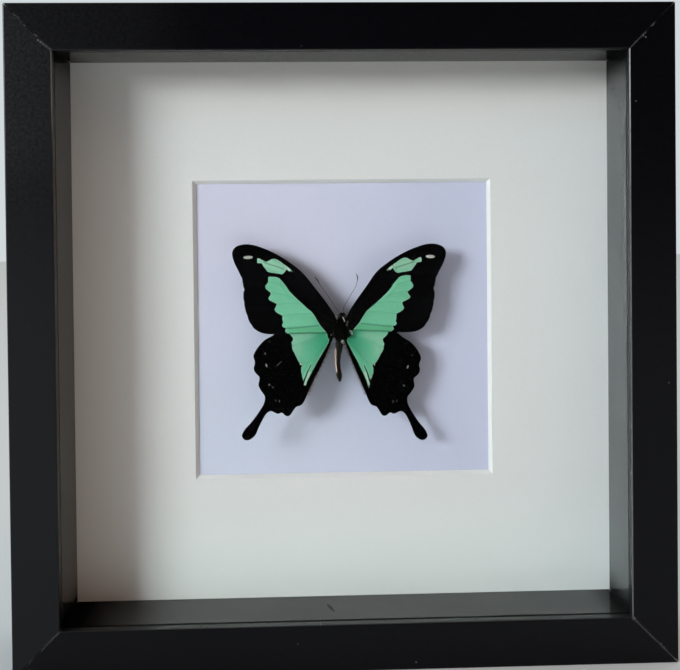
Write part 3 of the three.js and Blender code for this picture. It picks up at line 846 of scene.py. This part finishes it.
WINGS = {
    "left_forewing": {"node": "forewing_left", "side": LEFT, "pose": AS_DRAWN, "fore": True},
    "right_forewing": {"node": "forewing_right", "side": RIGHT, "pose": RIGHT_FORE, "fore": True},
    "left_hindwing": {"node": "hindwing_left", "side": LEFT, "pose": LEFT_HIND, "fore": False},
    "right_hindwing": {"node": "hindwing_right", "side": RIGHT, "pose": RIGHT_HIND, "fore": False},
}
# A tilted wing leans about this height, its lower end forward
TILT_HEIGHT = -2.0
WING_STEP, SPOT_STEP = 0.45, 0.22
# Corners round a spot, and how much of its half length has corners inside it
SPOT_CORNERS, SPOT_CORE = 20, 0.6
# How far the fill's own corners stay from its edges, as a share of the step
GRID_CLEARANCE = 0.55
WING_THICKNESS = 0.16
# The wing's relief: veins stand proud, pleats lie back, the tip droops, and one wave runs over all
VEIN_RIDGE, VEIN_HALF_WIDTH = 0.10, 0.3
PLEAT_DEPTH, PLEAT_REACH, PLEAT_EDGE = 0.22, 1.6, 2
TIP_DROOP, TIP_REACH = 2.2, 42.0
WAVE_DEPTH, WAVE_ACROSS, WAVE_UP = 0.25, 0.16, 0.13
# Where the green is deeper: centre, half size and strength
FORE_DEEP, HIND_DEEP = ((6, 3), (5, 4), 0.5), ((5, -4), (10, 11), 0.95)
# The forewing's lower edge lies over the hindwing: where it is folded and gets painted shade, and where
# painted shade runs along its edge
FOLD_TOP, FOLD_RISE, FOLD_END, FOLD_FADE = 1.6, 0.8, 24, 4
OVERLAP_TOP, OVERLAP_END = 4, 24
# Past any distance that a look cares about
FAR = 9.0
# The front of a wing, before its relief, stands this far behind the front of its flat CAD plate
WING_SETBACK = 0.15


def ellipse(centre, half, turn):
    angles = np.arange(SPOT_CORNERS) * 2 * math.pi / SPOT_CORNERS
    flat = np.column_stack([half[0] * np.cos(angles), half[1] * np.sin(angles)])
    c, s = math.cos(turn), math.sin(turn)
    return flat @ np.array([[c, s], [-s, c]]) + centre


def middle_of(centre, half, turn):
    """A line along an ellipse's longer axis, which gives its inside corners of its own."""
    along = turn if half[0] > half[1] else turn + math.pi / 2
    reach = SPOT_CORE * max(half) * np.array((math.cos(along), math.sin(along)))
    return np.array((centre - reach, centre, centre + reach))


def set_on_wing(points, side, pose):
    """Drawn points moved to where this wing holds them."""
    x, z = np.asarray(points, float).T
    c, s = math.cos(pose["turn"]), math.sin(pose["turn"])
    across = pose["scale"] * (x * c - z * s) + pose["shift"][0]
    up = pose["scale"] * (x * s + z * c) + pose["shift"][1]
    return np.column_stack([side * across, TILT_HEIGHT + (up - TILT_HEIGHT) * math.cos(pose["tilt"])])


def wing_relief(points, off_vein, off_edge, pose):
    """How far the wing's face stands back from its level: veins proud, pleats between them."""
    ridge = VEIN_RIDGE * np.exp(-(off_vein / VEIN_HALF_WIDTH) ** 2)
    pleat = PLEAT_DEPTH * (1 - np.exp(-(off_vein / PLEAT_REACH) ** 2)) * np.clip(off_edge / PLEAT_EDGE, 0, 1)
    droop = 0 if pose["tilt"] else TIP_DROOP * np.clip(np.abs(points[:, 0]) / TIP_REACH, 0, 1.2) ** 2
    wave = WAVE_DEPTH * np.sin(points[:, 0] * WAVE_ACROSS + 1) * np.cos(points[:, 1] * WAVE_UP)
    lean = math.tan(pose["tilt"]) * (TILT_HEIGHT - points[:, 1])
    return pleat - ridge + droop + wave - lean


def notched(loop, notches):
    """The outline with a small notch pressed in beside each place."""
    inward = loop.mean(axis=0) - loop
    inward /= np.linalg.norm(inward, axis=1)[:, None]
    for place in notches:
        off = np.linalg.norm(loop - place, axis=1)
        loop = loop + inward * (NOTCH_DEPTH * np.exp(-((off / NOTCH_HALF) ** 2)))[:, None]
    return loop


def paleness(out, up, pales):
    """How pale each drawn point's green is: the strongest of the pale lines near it."""
    points = np.column_stack([out, up])
    shares = [strength * np.exp(-((distance_to(points, np.array(line, float)) / reach) ** 2))
              for line, reach, strength in pales]
    return np.max(shares, axis=0)


def wing_markings(fore, side):
    """The wing's drawn outlines by kind, and lines that the fill must follow."""
    if fore:
        return {
            "green": [FORE_BAND, FORE_PATCH, FORE_STREAK], "cream": [ellipse(**APEX_SPOT)],
            "powder": [], "light": [], "shaded_crease": FORE_CREASES, "core": [],
        }
    spots = [(spot, left if side == LEFT else right) for spot, left, right in HIND_POWDER]
    spots = [(spot, light) for spot, light in spots if light]
    return {
        "green": [HIND_BAND, ellipse(**HIND_NICK)], "cream": [],
        "powder": [ellipse(**spot) for spot, _ in spots], "light": [light for _, light in spots],
        "shaded_crease": [], "core": [HIND_SLIT, middle_of(**HIND_NICK)] + [middle_of(**spot) for spot, _ in spots],
    }


def glow(out, up, centre, half, strength):
    """A soft oval that is strongest at its centre."""
    return strength * np.exp(-(((out - centre[0]) / half[0]) ** 2 + ((up - centre[1]) / half[1]) ** 2))


def powder_light(points, loops, lights):
    """The light of the powdered spot that each point is in or nearest to."""
    if not loops:
        return np.zeros(len(points))
    depths = np.array([depth_in(points, [loop]) for loop in loops])
    return np.array(lights)[depths.argmax(axis=0)]


def wing_values(points, side, pose, fore, marks, off_vein, off_edge):
    """The numbers that the wing's look reads at each point."""
    drawn_out = (side * points[:, 0] - pose["shift"][0]) / pose["scale"]
    drawn_up = (points[:, 1] - pose["shift"][1]) / pose["scale"]
    c, s = math.cos(pose["turn"]), math.sin(pose["turn"])
    out, up = drawn_out * c + drawn_up * s, drawn_up * c - drawn_out * s
    # Painted shade: along the creases and the forewing's overlapping edge, and over the fold of its lower
    # part.
    shaded_crease = np.full(len(points), FAR)
    painted_fold_shade = np.zeros(len(points))
    if fore:
        overlap = (up < OVERLAP_TOP) & (out < OVERLAP_END)
        lines = [distance_to(points, line) for line in marks["shaded_crease"]]
        shaded_crease = np.min([*lines, np.where(overlap, off_edge, FAR)], axis=0)
        painted_fold_shade = np.clip((FOLD_TOP - up) / FOLD_RISE, 0, 1) * np.clip((FOLD_END - out) / FOLD_FADE, 0, 1)
    return {
        "green": depth_in(points, marks["green"]),
        "cream": depth_in(points, marks["cream"]),
        "powder": depth_in(points, marks["powder"]),
        "light": powder_light(points, marks["powder"], marks["light"]),
        "vein": off_vein,
        "shaded_crease": shaded_crease,
        "deep": glow(out, up, *(FORE_DEEP if fore else HIND_DEEP)),
        "painted_fold_shade": painted_fold_shade,
        "pale": paleness(out, up, FORE_PALE if fore else HIND_PALE),
        "root": np.hypot(out - 2, up),
    }


def wing_slab(points, triangles, facing):
    """The filled outline as a closed sheet, its front at the depths in facing."""
    count = len(points)

    def layer(y):
        return np.column_stack([points[:, 0] + SPECIMEN.x, y, points[:, 1] + SPECIMEN.z])

    used = {edge for a, b, c in triangles.tolist() for edge in ((a, b), (b, c), (c, a))}
    rim = sorted((a, b) for a, b in used if (b, a) not in used)
    faces = triangles.tolist()
    faces += [[count + c, count + b, count + a] for a, b, c in triangles.tolist()]
    faces += [[b, a, count + a, count + b] for a, b in rim]
    return {"points": np.vstack([layer(facing), layer(facing + WING_THICKNESS)]), "faces": faces}


def fringe(side, pose, level):
    """Short hairs along the hindwing's inner edge, pointing in towards the abdomen."""
    edge = even_line(smooth_line(set_on_wing(FRINGE, side, pose)), FRINGE_STEP)
    run = np.gradient(edge, axis=0)
    run /= np.linalg.norm(run, axis=1)[:, None]
    picked = rng.integers(0, len(edge), FRINGE_HAIRS)
    place, along = edge[picked], run[picked]
    lean = math.tan(pose["tilt"]) * (TILT_HEIGHT - place[:, 1])
    roots = np.column_stack([place[:, 0], level + FRINGE_SETBACK - lean, place[:, 1]])
    roots[:, 0] += side * FRINGE_WIDTH * rng.random(FRINGE_HAIRS)
    directions = np.column_stack([-side * np.abs(along[:, 1]), np.full(FRINGE_HAIRS, -0.05),
                                  along[:, 1] * 0.55])
    directions += FRINGE_SCATTER * rng.standard_normal((FRINGE_HAIRS, 3)) * (1, 0.3, 1)
    lengths = FRINGE_LENGTH * rng.uniform(0.7, 1.3, FRINGE_HAIRS)
    return hairs(roots, directions, lengths, FRINGE_RADIUS, bend=0.1)


def lines_to_follow(marks):
    """The lines that get edges of their own in the wing's mesh, beside the veins."""
    lines = [even_line(np.vstack([g, g[:1]]), WING_STEP) for g in marks["green"]]
    lines += [even_line(np.vstack([g, g[:1]]), SPOT_STEP) for g in marks["cream"] + marks["powder"]]
    return lines + [even_line(line, SPOT_STEP) for line in marks["shaded_crease"] + marks["core"]]


def add_wing(name, node, side, pose, fore, materials):
    def on_wing(lines):
        return [set_on_wing(line, side, pose) for line in lines]

    loop = even_line(smooth_line(cad_outline(node), 4, True), WING_STEP / 2, True)
    if fore:
        loop = notched(loop, on_wing([FORE_NOTCHES])[0])
    veins = on_wing(even_line(smooth_line(v), WING_STEP) for v in (FORE_VEINS if fore else HIND_VEINS))
    marks = wing_markings(fore, side)
    for kind in ("green", "cream", "powder", "shaded_crease", "core"):
        marks[kind] = on_wing(marks[kind])
    points, triangles = fill(loop, veins + lines_to_follow(marks), WING_STEP)
    off_vein = np.min([distance_to(points, vein) for vein in veins], axis=0)
    off_edge = distance_to(points, loop, True)
    values = wing_values(points, side, pose, fore, marks, off_vein, off_edge)
    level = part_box("forewing_right" if fore else "hindwing_right")[0].y / MM
    facing = level + WING_SETBACK + wing_relief(points, off_vein, off_edge, pose)
    slab = wing_slab(points, triangles, facing)
    slab["attributes"] = {key: np.tile(value, 2) for key, value in values.items()}
    parts = [slab] if fore else [slab, fringe(side, pose, level)]
    return add_joined(name, parts, materials, [node])


# ---------------------------------------------------------------- body

THORAX_HALF = np.array((2.8, 2.4, 4.5))
THORAX_CENTRE = np.array((-0.2, -1.6, -0.7))
HEAD_HALF = np.array((1.9, 1.6, 1.5))
HEAD_CENTRE = np.array((0.35, -1.9, 5.1))
# The skin's size as a share of the furry outline, and how uneven it is
SKIN_SHARE, SKIN_ROUGHNESS = 0.8, 0.01
# How far fur leans over, and how unevenly it and the tufts point
FUR_LEAN, FUR_SCATTER, TUFT_SCATTER = 0.9, 0.35, 0.3
EYES = {"left_eye": (-0.75, -2.5, 5.35), "right_eye": (1.45, -2.5, 5.3)}
EYE_HALF = (0.62, 0.6, 0.85)
# Palps: x of each, the height and depth they share, and their size
PALP_ACROSS, PALP_DEPTH, PALP_HEIGHT = (-0.2, 0.9), -2.4, 6.1
PALP_HALF, PALP_HAIR_HALF, PALP_HAIRS = (0.34, 0.4, 0.55), (0.32, 0.38, 0.53), 240
# Tufts on the thorax, first to last as drawn: where (x, y, z), reach, hairs, length, radius,
# direction, and how pale
THORAX_TUFTS = [
    *(((x, -2.4, 3.5), 0.6, 170, 1.0, 0.045, (0, -0.6, 0.4), 0.0) for x in (-1.5, -0.6, 0.3, 1.2, 1.9)),
    *(((x, -3.6, z), 0.2, 50, 0.4, 0.045, (0.1, -0.7, -0.6), pale)
      for x, z, pale in ((3.5, -0.2, 0.5), (3.85, -0.6, 0.8), (4.1, -1.05, 1.0), (4.1, -1.5, 0.9))),
    ((-4.0, -3.5, -1.7), 0.3, 45, 0.5, 0.045, (-0.3, -0.5, -0.6), 0.3),
    *(((x, -3.9, z), 0.2, 30, 0.7, 0.035, (-0.05, -0.4, -1.0), 0.26)
      for x, z in ((2.35, 3.5), (2.2, 2.9), (2.05, 2.3))),
    ((0.3, -4.3, -4.3), 0.42, 320, 0.45, 0.05, (0, -0.9, -0.4), 1.0),
    *(((side * x, -3.3, z), reach, 240, 1.2, 0.045, (side, -0.2, -0.7), 0.0) for side in (LEFT, RIGHT)
      for x, z, reach in ((2.9, 3.6, 0.9), (2.8, 2.2, 1.0), (2.7, 0.8, 0.9), (2.4, -1.6, 0.7))),
]
# The pale line down the head, as five tufts from the first place to the last
HEAD_LINE, HEAD_LINE_TUFTS = ((0.55, -3.6, 5.2), (1.25, -3.6, 3.7)), 5
# The abdomen's middle line and radius: x, z, radius
ABDOMEN = [
    (-0.9, -4.8, 1.0), (-0.95, -6.2, 1.45), (-1.5, -10, 1.12), (-1.57, -14, 0.95), (-1.2, -16.8, 0.98),
    (-1.05, -18, 0.9), (-0.9, -19.1, 0.62), (-0.8, -20.1, 0.12),
]
ABDOMEN_RINGS, ABDOMEN_SIDES, RING_DEPTH = 9, 28, 0.035
DOWN_HAIRS, DOWN_LENGTH, DOWN_RADIUS, DOWN_SCATTER, DOWN_ROOT = 2600, 0.5, 0.03, 0.12, 0.05
# The pale stripe: how far out on the flank it starts, and the heights where it begins and ends
STRIPE_START, STRIPE_RISE = 0.40, 2.6
STRIPE_LOW, STRIPE_LOW_FADE, STRIPE_HIGH, STRIPE_HIGH_FADE = -17.5, 1.2, -5.5, 4
ANTENNAE = {
    LEFT: [(-0.9, 7.0), (-2.2, 8.8), (-5.4, 13.8), (-8.3, 18), (-9.3, 19.8), (-10.4, 21.2)],
    RIGHT: [(0.7, 7.0), (1.3, 9.4), (3.6, 13.4), (5.6, 16.8), (6.5, 19.6), (6.5, 21), (5.9, 22.3)],
}
ANTENNA_LIFT, ANTENNA_STEP, ANTENNA_SIDES, ANTENNA_RING_DEPTH = 1.2, 0.1, 10, 0.10
SHAFT_RADIUS, CLUB_RADIUS, CLUB_LENGTH = 0.08, 0.22, 3.6
# The club's middle and half length, as shares of its length; the tip's length and least share of radius
CLUB_MIDDLE, CLUB_HALF = 0.45, 0.42
TIP_LENGTH, TIP_SHARE = 0.4, 0.25


def ball(centre, half, sides=40, rings=28, rough=0.0):
    """An ellipsoid as a part for join, with a rough surface if asked."""
    points = [(0, 0, 1)]
    for i in range(1, rings):
        polar = math.pi * i / rings
        points += [(math.sin(polar) * math.cos(2 * math.pi * j / sides),
                    math.sin(polar) * math.sin(2 * math.pi * j / sides), math.cos(polar))
                   for j in range(sides)]
    points.append((0, 0, -1))
    points = np.array(points)
    swell = 1 + rough * rng.standard_normal(len(points))
    last = len(points) - 1
    faces = []
    for j in range(sides):
        k = (j + 1) % sides
        faces.append([0, 1 + j, 1 + k])
        faces.append([last, last - sides + k, last - sides + j])
        for i in range(rings - 2):
            row = 1 + i * sides
            faces.append([row + j, row + sides + j, row + sides + k, row + k])
    return {"points": points * swell[:, None] * half + centre + np.array(SPECIMEN), "faces": faces}


def hairs(roots, directions, lengths, radius, pale=None, lay=(0, 0, -1), bend=0.25):
    """Closed three-sided tapering hairs that curve over towards lay, in the piece's second material."""
    count = len(roots)
    directions = directions / np.linalg.norm(directions, axis=1)[:, None]
    side = np.cross(directions, rng.standard_normal((count, 3)))
    side /= np.linalg.norm(side, axis=1)[:, None]
    other = np.cross(directions, side)
    curve = np.asarray(lay, float) * bend
    points = np.zeros((count, 7, 3))
    for ring, (share, thick) in enumerate(((-0.12, 1.0), (0.5, 0.75))):
        middle = roots + directions * (lengths * share)[:, None] + curve * (lengths * share**2)[:, None]
        for k in range(3):
            angle = 2 * math.pi * k / 3
            across = side * math.cos(angle) + other * math.sin(angle)
            points[:, 3 * ring + k] = middle + across * radius * thick
    points[:, 6] = roots + directions * lengths[:, None] + curve * lengths[:, None]
    pattern = [(0, 2, 1), (0, 1, 4, 3), (1, 2, 5, 4), (2, 0, 3, 5), (3, 4, 6), (4, 5, 6), (5, 3, 6)]
    faces = [[7 * i + k for k in face] for i in range(count) for face in pattern]
    along = np.tile([0, 0, 0, 0.5, 0.5, 0.5, 1.0], count)
    pale = np.zeros(count) if pale is None else pale
    return {
        "points": points.reshape(-1, 3) + np.array(SPECIMEN),
        "faces": faces,
        "attributes": {"along": along, "shade": np.repeat(rng.random(count), 7), "pale": np.repeat(pale, 7)},
        "material": 1,
    }


def fur_on_ball(centre, half, count, length, radius, lay=(0, 0, -1)):
    """Hairs all over an ellipsoid, leaning towards lay."""
    spread = rng.standard_normal((count, 3))
    spread /= np.linalg.norm(spread, axis=1)[:, None]
    normals = spread / half
    normals /= np.linalg.norm(normals, axis=1)[:, None]
    directions = normals + FUR_LEAN * np.asarray(lay) + FUR_SCATTER * rng.standard_normal((count, 3))
    lengths = length * rng.uniform(0.6, 1.15, count)
    return hairs(spread * half * SKIN_SHARE + centre, directions, lengths, radius, lay=lay)


def tuft(place, reach, count, length, radius, toward, pale):
    """A small bunch of hairs."""
    x, y, z = place
    roots = np.column_stack([x + reach * rng.standard_normal(count) / 2, np.full(count, y),
                             z + reach * rng.standard_normal(count) / 2])
    directions = np.asarray(toward) + TUFT_SCATTER * rng.standard_normal((count, 3))
    lengths = length * rng.uniform(0.6, 1.1, count)
    return hairs(roots, directions, lengths, radius, np.full(count, pale))


def add_thorax():
    parts = [ball(THORAX_CENTRE, THORAX_HALF * SKIN_SHARE, rough=SKIN_ROUGHNESS)]
    parts.append(fur_on_ball(THORAX_CENTRE, THORAX_HALF, 6500, 1.05, 0.045))
    parts += [tuft(*facts) for facts in THORAX_TUFTS]
    skin = skin_material("thorax_skin", (0.0020, 0.0017, 0.0016), (0.0050, 0.0042, 0.0040))
    fur = hair_material("thorax_fur", (0.0012, 0.0010, 0.0009), (0.0055, 0.0044, 0.0040), (0.60, 0.62, 0.56))
    add_joined("furry_thorax", parts, [skin, fur], ["thorax"])


def palp(x):
    """One palp with its own fur, as two parts for join."""
    centre = np.array((x, PALP_DEPTH, PALP_HEIGHT))
    skin = ball(centre, np.array(PALP_HALF), 16, 12)
    around = rng.standard_normal((PALP_HAIRS, 3))
    around /= np.linalg.norm(around, axis=1)[:, None]
    lengths = 0.42 * rng.uniform(0.6, 1.1, PALP_HAIRS)
    fur = hairs(around * PALP_HAIR_HALF + centre, around + (0, -0.2, 0.9), lengths, 0.035, lay=(0, 0, 0.3))
    return [skin, fur]


def add_head():
    parts = [ball(HEAD_CENTRE, HEAD_HALF * SKIN_SHARE, rough=SKIN_ROUGHNESS)]
    parts.append(fur_on_ball(HEAD_CENTRE, HEAD_HALF, 1500, 0.6, 0.04, lay=(0, 0, 0.2)))
    for place in np.linspace(*HEAD_LINE, HEAD_LINE_TUFTS):
        parts.append(tuft(place, 0.13, 30, 0.45, 0.045, (0.1, -0.8, -0.6), 1.0))
    for x in PALP_ACROSS:
        parts += palp(x)
    skin = skin_material("head_skin", (0.0025, 0.0020, 0.0020), (0.0060, 0.0050, 0.0050))
    fur = hair_material("head_fur", (0.0025, 0.0020, 0.0020), (0.012, 0.0095, 0.009), (0.72, 0.74, 0.70))
    add_joined("furry_head", parts, [skin, fur], ["head"])
    facets = eye_material()
    for name, place in EYES.items():
        eye = ball(np.array(place), np.array(EYE_HALF), 28, 20)
        add_piece(name, mesh_from(name, eye["points"], eye["faces"]), [facets])


def lathe_on(line, radii, sides, pinch, rings):
    """A closed tube along a line, with a radius at each of its points and rings pinched into it."""
    tangents = np.gradient(line, axis=0)
    tangents /= np.linalg.norm(tangents, axis=1)[:, None]
    across = np.cross(tangents, (0.0, 1.0, 0.0))
    across /= np.linalg.norm(across, axis=1)[:, None]
    towards = np.cross(across, tangents)
    angles = np.arange(sides) * 2 * math.pi / sides
    share = np.linspace(0, 1, len(line))
    ridge = 1 + pinch * np.cos(share * rings * 2 * math.pi)
    points = [middle + (radius * swell) * (math.cos(a) * u + math.sin(a) * v)
              for middle, radius, swell, u, v in zip(line, radii, ridge, across, towards) for a in angles]
    faces = [[i * sides + j, i * sides + (j + 1) % sides, (i + 1) * sides + (j + 1) % sides,
              (i + 1) * sides + j] for i in range(len(line) - 1) for j in range(sides)]
    faces.append(list(range(sides))[::-1])
    faces.append([(len(line) - 1) * sides + j for j in range(sides)])
    return {"points": np.array(points) + np.array(SPECIMEN), "faces": faces}


def abdomen_stripe(local, flank):
    """How pale the abdomen is: a stripe along one flank."""
    from_low = np.clip((local[:, 2] - STRIPE_LOW) / STRIPE_LOW_FADE, 0, 1)
    from_high = np.clip((STRIPE_HIGH - local[:, 2]) / STRIPE_HIGH_FADE, 0, 1)
    return np.clip((flank - STRIPE_START) * STRIPE_RISE, 0, 1) * (from_low * from_high)


def add_abdomen():
    drawn = smooth_line(ABDOMEN, 10)
    depths = np.full(len(drawn), THORAX_CENTRE[1])
    body = lathe_on(np.column_stack([drawn[:, 0], depths, drawn[:, 1]]), drawn[:, 2],
                    ABDOMEN_SIDES, RING_DEPTH, ABDOMEN_RINGS)
    local = body["points"] - np.array(SPECIMEN)
    middle = np.interp(-local[:, 2], -drawn[:, 1], drawn[:, 0])
    reach = np.interp(-local[:, 2], -drawn[:, 1], drawn[:, 2])
    pale = abdomen_stripe(local, (middle - local[:, 0]) / reach)
    body["attributes"] = {"pale": pale}
    picked = rng.integers(0, len(local), DOWN_HAIRS)
    centres = np.column_stack([middle, np.full(len(local), THORAX_CENTRE[1]), local[:, 2]])
    outward = (local - centres)[picked]
    outward /= np.linalg.norm(outward, axis=1)[:, None] + 1e-9
    jitter = DOWN_SCATTER * rng.standard_normal((DOWN_HAIRS, 3))
    roots = local[picked] + jitter * (1, 0, 1) - outward * DOWN_ROOT
    lengths = DOWN_LENGTH * rng.uniform(0.6, 1.1, DOWN_HAIRS)
    directions = 0.5 * outward + (0, 0, -1.0) + jitter
    down = hairs(roots, directions, lengths, DOWN_RADIUS, pale[picked] * 0.8)
    skin = skin_material("abdomen_skin", (0.006, 0.004, 0.004), (0.014, 0.009, 0.008), (0.62, 0.45, 0.35))
    fur = hair_material("abdomen_down", (0.006, 0.004, 0.003), (0.018, 0.011, 0.008), (0.60, 0.44, 0.34))
    add_joined("ringed_abdomen", [body, down], [skin, fur], ["abdomen"])


def add_antenna(side, name, node):
    drawn = even_line(smooth_line(ANTENNAE[side], 12), ANTENNA_STEP)
    share = np.linspace(0, 1, len(drawn))
    to_tip = (1 - share) * (len(drawn) - 1) * ANTENNA_STEP
    club = np.exp(-(((to_tip - CLUB_MIDDLE * CLUB_LENGTH) / (CLUB_HALF * CLUB_LENGTH)) ** 2))
    radii = SHAFT_RADIUS + (CLUB_RADIUS - SHAFT_RADIUS) * club
    radii *= np.clip(to_tip / TIP_LENGTH, TIP_SHARE, 1)
    line = np.column_stack([drawn[:, 0], HEAD_CENTRE[1] - ANTENNA_LIFT * share, drawn[:, 1]])
    made = lathe_on(line, radii, ANTENNA_SIDES, ANTENNA_RING_DEPTH, len(drawn) // 4)
    mesh = mesh_from(name, made["points"], made["faces"])
    add_piece(name, mesh, [horn_material(f"{name}_horn")], [node])


def add_butterfly():
    fringe_look = hair_material("wing_fringe", (0.020, 0.012, 0.008), (0.42, 0.31, 0.22), (0.5, 0.4, 0.3))
    fore_look = wing_material("forewing_scales", (0.0014, 0.0014, 0.0017), (0.0038, 0.0037, 0.0043))
    hind_look = wing_material("hindwing_scales", (0.0005, 0.0006, 0.0007), (0.0022, 0.0021, 0.0025))
    for name, facts in WINGS.items():
        add_wing(name, materials=[fore_look] if facts["fore"] else [hind_look, fringe_look], **facts)
    add_thorax()
    add_head()
    add_abdomen()
    add_antenna(LEFT, "left_antenna", "antenna_left")
    add_antenna(RIGHT, "right_antenna", "antenna_right")


# ---------------------------------------------------------------- stage, light, camera

# Half the floor's side, in metres
FLOOR_REACH = 4.0


def add_floor():
    corners = [(x * FLOOR_REACH, y * FLOOR_REACH, 0) for x, y in ((-1, -1), (1, -1), (1, 1), (-1, 1))]
    mesh = bpy.data.meshes.new("floor")
    mesh.from_pydata(corners, [], [(0, 1, 2, 3)])
    mesh.materials.append(floor_material())
    floor = bpy.data.objects.new("floor", mesh)
    bpy.context.scene.collection.objects.link(floor)


def add_key_light():
    lamp = bpy.data.lights.new("key", "AREA")
    lamp.shape = "RECTANGLE"
    lamp.size, lamp.size_y = KEY_SIZE
    lamp.energy = KEY_POWER
    lamp.color = KEY_COLOUR
    key = bpy.data.objects.new("key", lamp)
    bpy.context.scene.collection.objects.link(key)
    direction = Vector(KEY_DIRECTION).normalized()
    key.location = SPECIMEN * MM + direction * KEY_DISTANCE
    key.rotation_euler = direction.to_track_quat("Z", "Y").to_euler()


def add_world():
    """Soft light from all round, but for a dark patch in front, which the glass mirrors."""
    world = bpy.data.worlds.new("studio")
    bpy.context.scene.world = world
    world.use_nodes = True
    sky = Nodes(world.node_tree)
    direction = sky.node("TexCoord").outputs["Generated"]
    x, y, z = sky.parts(direction)
    tint = sky.blend(sky.fade(x, *ACROSS_FADE, shape="LINEAR"), WORLD_LEFT, WORLD_RIGHT)
    tint = sky.blend(sky.fade(y, *BEHIND_FADE), tint, WORLD_BEHIND)
    tint = sky.blend(sky.fade(z, *ABOVE_FADE), tint, WORLD_ABOVE)
    toward = sky.vector("DOT_PRODUCT", direction, Vector(DARK_DIRECTION).normalized(), "Value")
    room = world.node_tree.nodes["Background"]
    sky.feed(room.inputs["Color"], tint)
    sky.feed(room.inputs["Strength"], sky.fade(toward, DARK_RIM, DARK_CORE, WORLD_STRENGTH, 0.0))
    backdrop = sky.node("Background")
    sky.feed(backdrop.inputs["Color"], BACKDROP_COLOUR)
    seen = sky.node("MixShader")
    sky.feed(seen.inputs[0], sky.node("LightPath").outputs["Is Camera Ray"])
    sky.feed(seen.inputs[1], room.outputs[0])
    sky.feed(seen.inputs[2], backdrop.outputs[0])
    sky.feed(world.node_tree.nodes["World Output"].inputs["Surface"], seen.outputs[0])


def add_camera():
    turn = (Matrix.Rotation(CAMERA_YAW, 3, "Z") @ Matrix.Rotation(CAMERA_PITCH, 3, "X")
            @ Matrix.Rotation(CAMERA_ROLL, 3, "Y"))
    right, forward, up = turn.col
    lens = bpy.data.cameras.new("camera")
    lens.lens = CAMERA_LENS
    lens.shift_y = CAMERA_SHIFT_Y
    lens.clip_start = 0.01
    camera = bpy.data.objects.new("camera", lens)
    bpy.context.scene.collection.objects.link(camera)
    place = Matrix((right, up, -forward)).transposed().to_4x4()
    place.translation = Vector(CAMERA_PLACE) * MM
    camera.matrix_world = place
    bpy.context.scene.camera = camera


add_camera()
add_frame()
add_butterfly()
add_floor()
add_key_light()
add_world()
bpy.context.scene.view_settings.view_transform = "Standard"
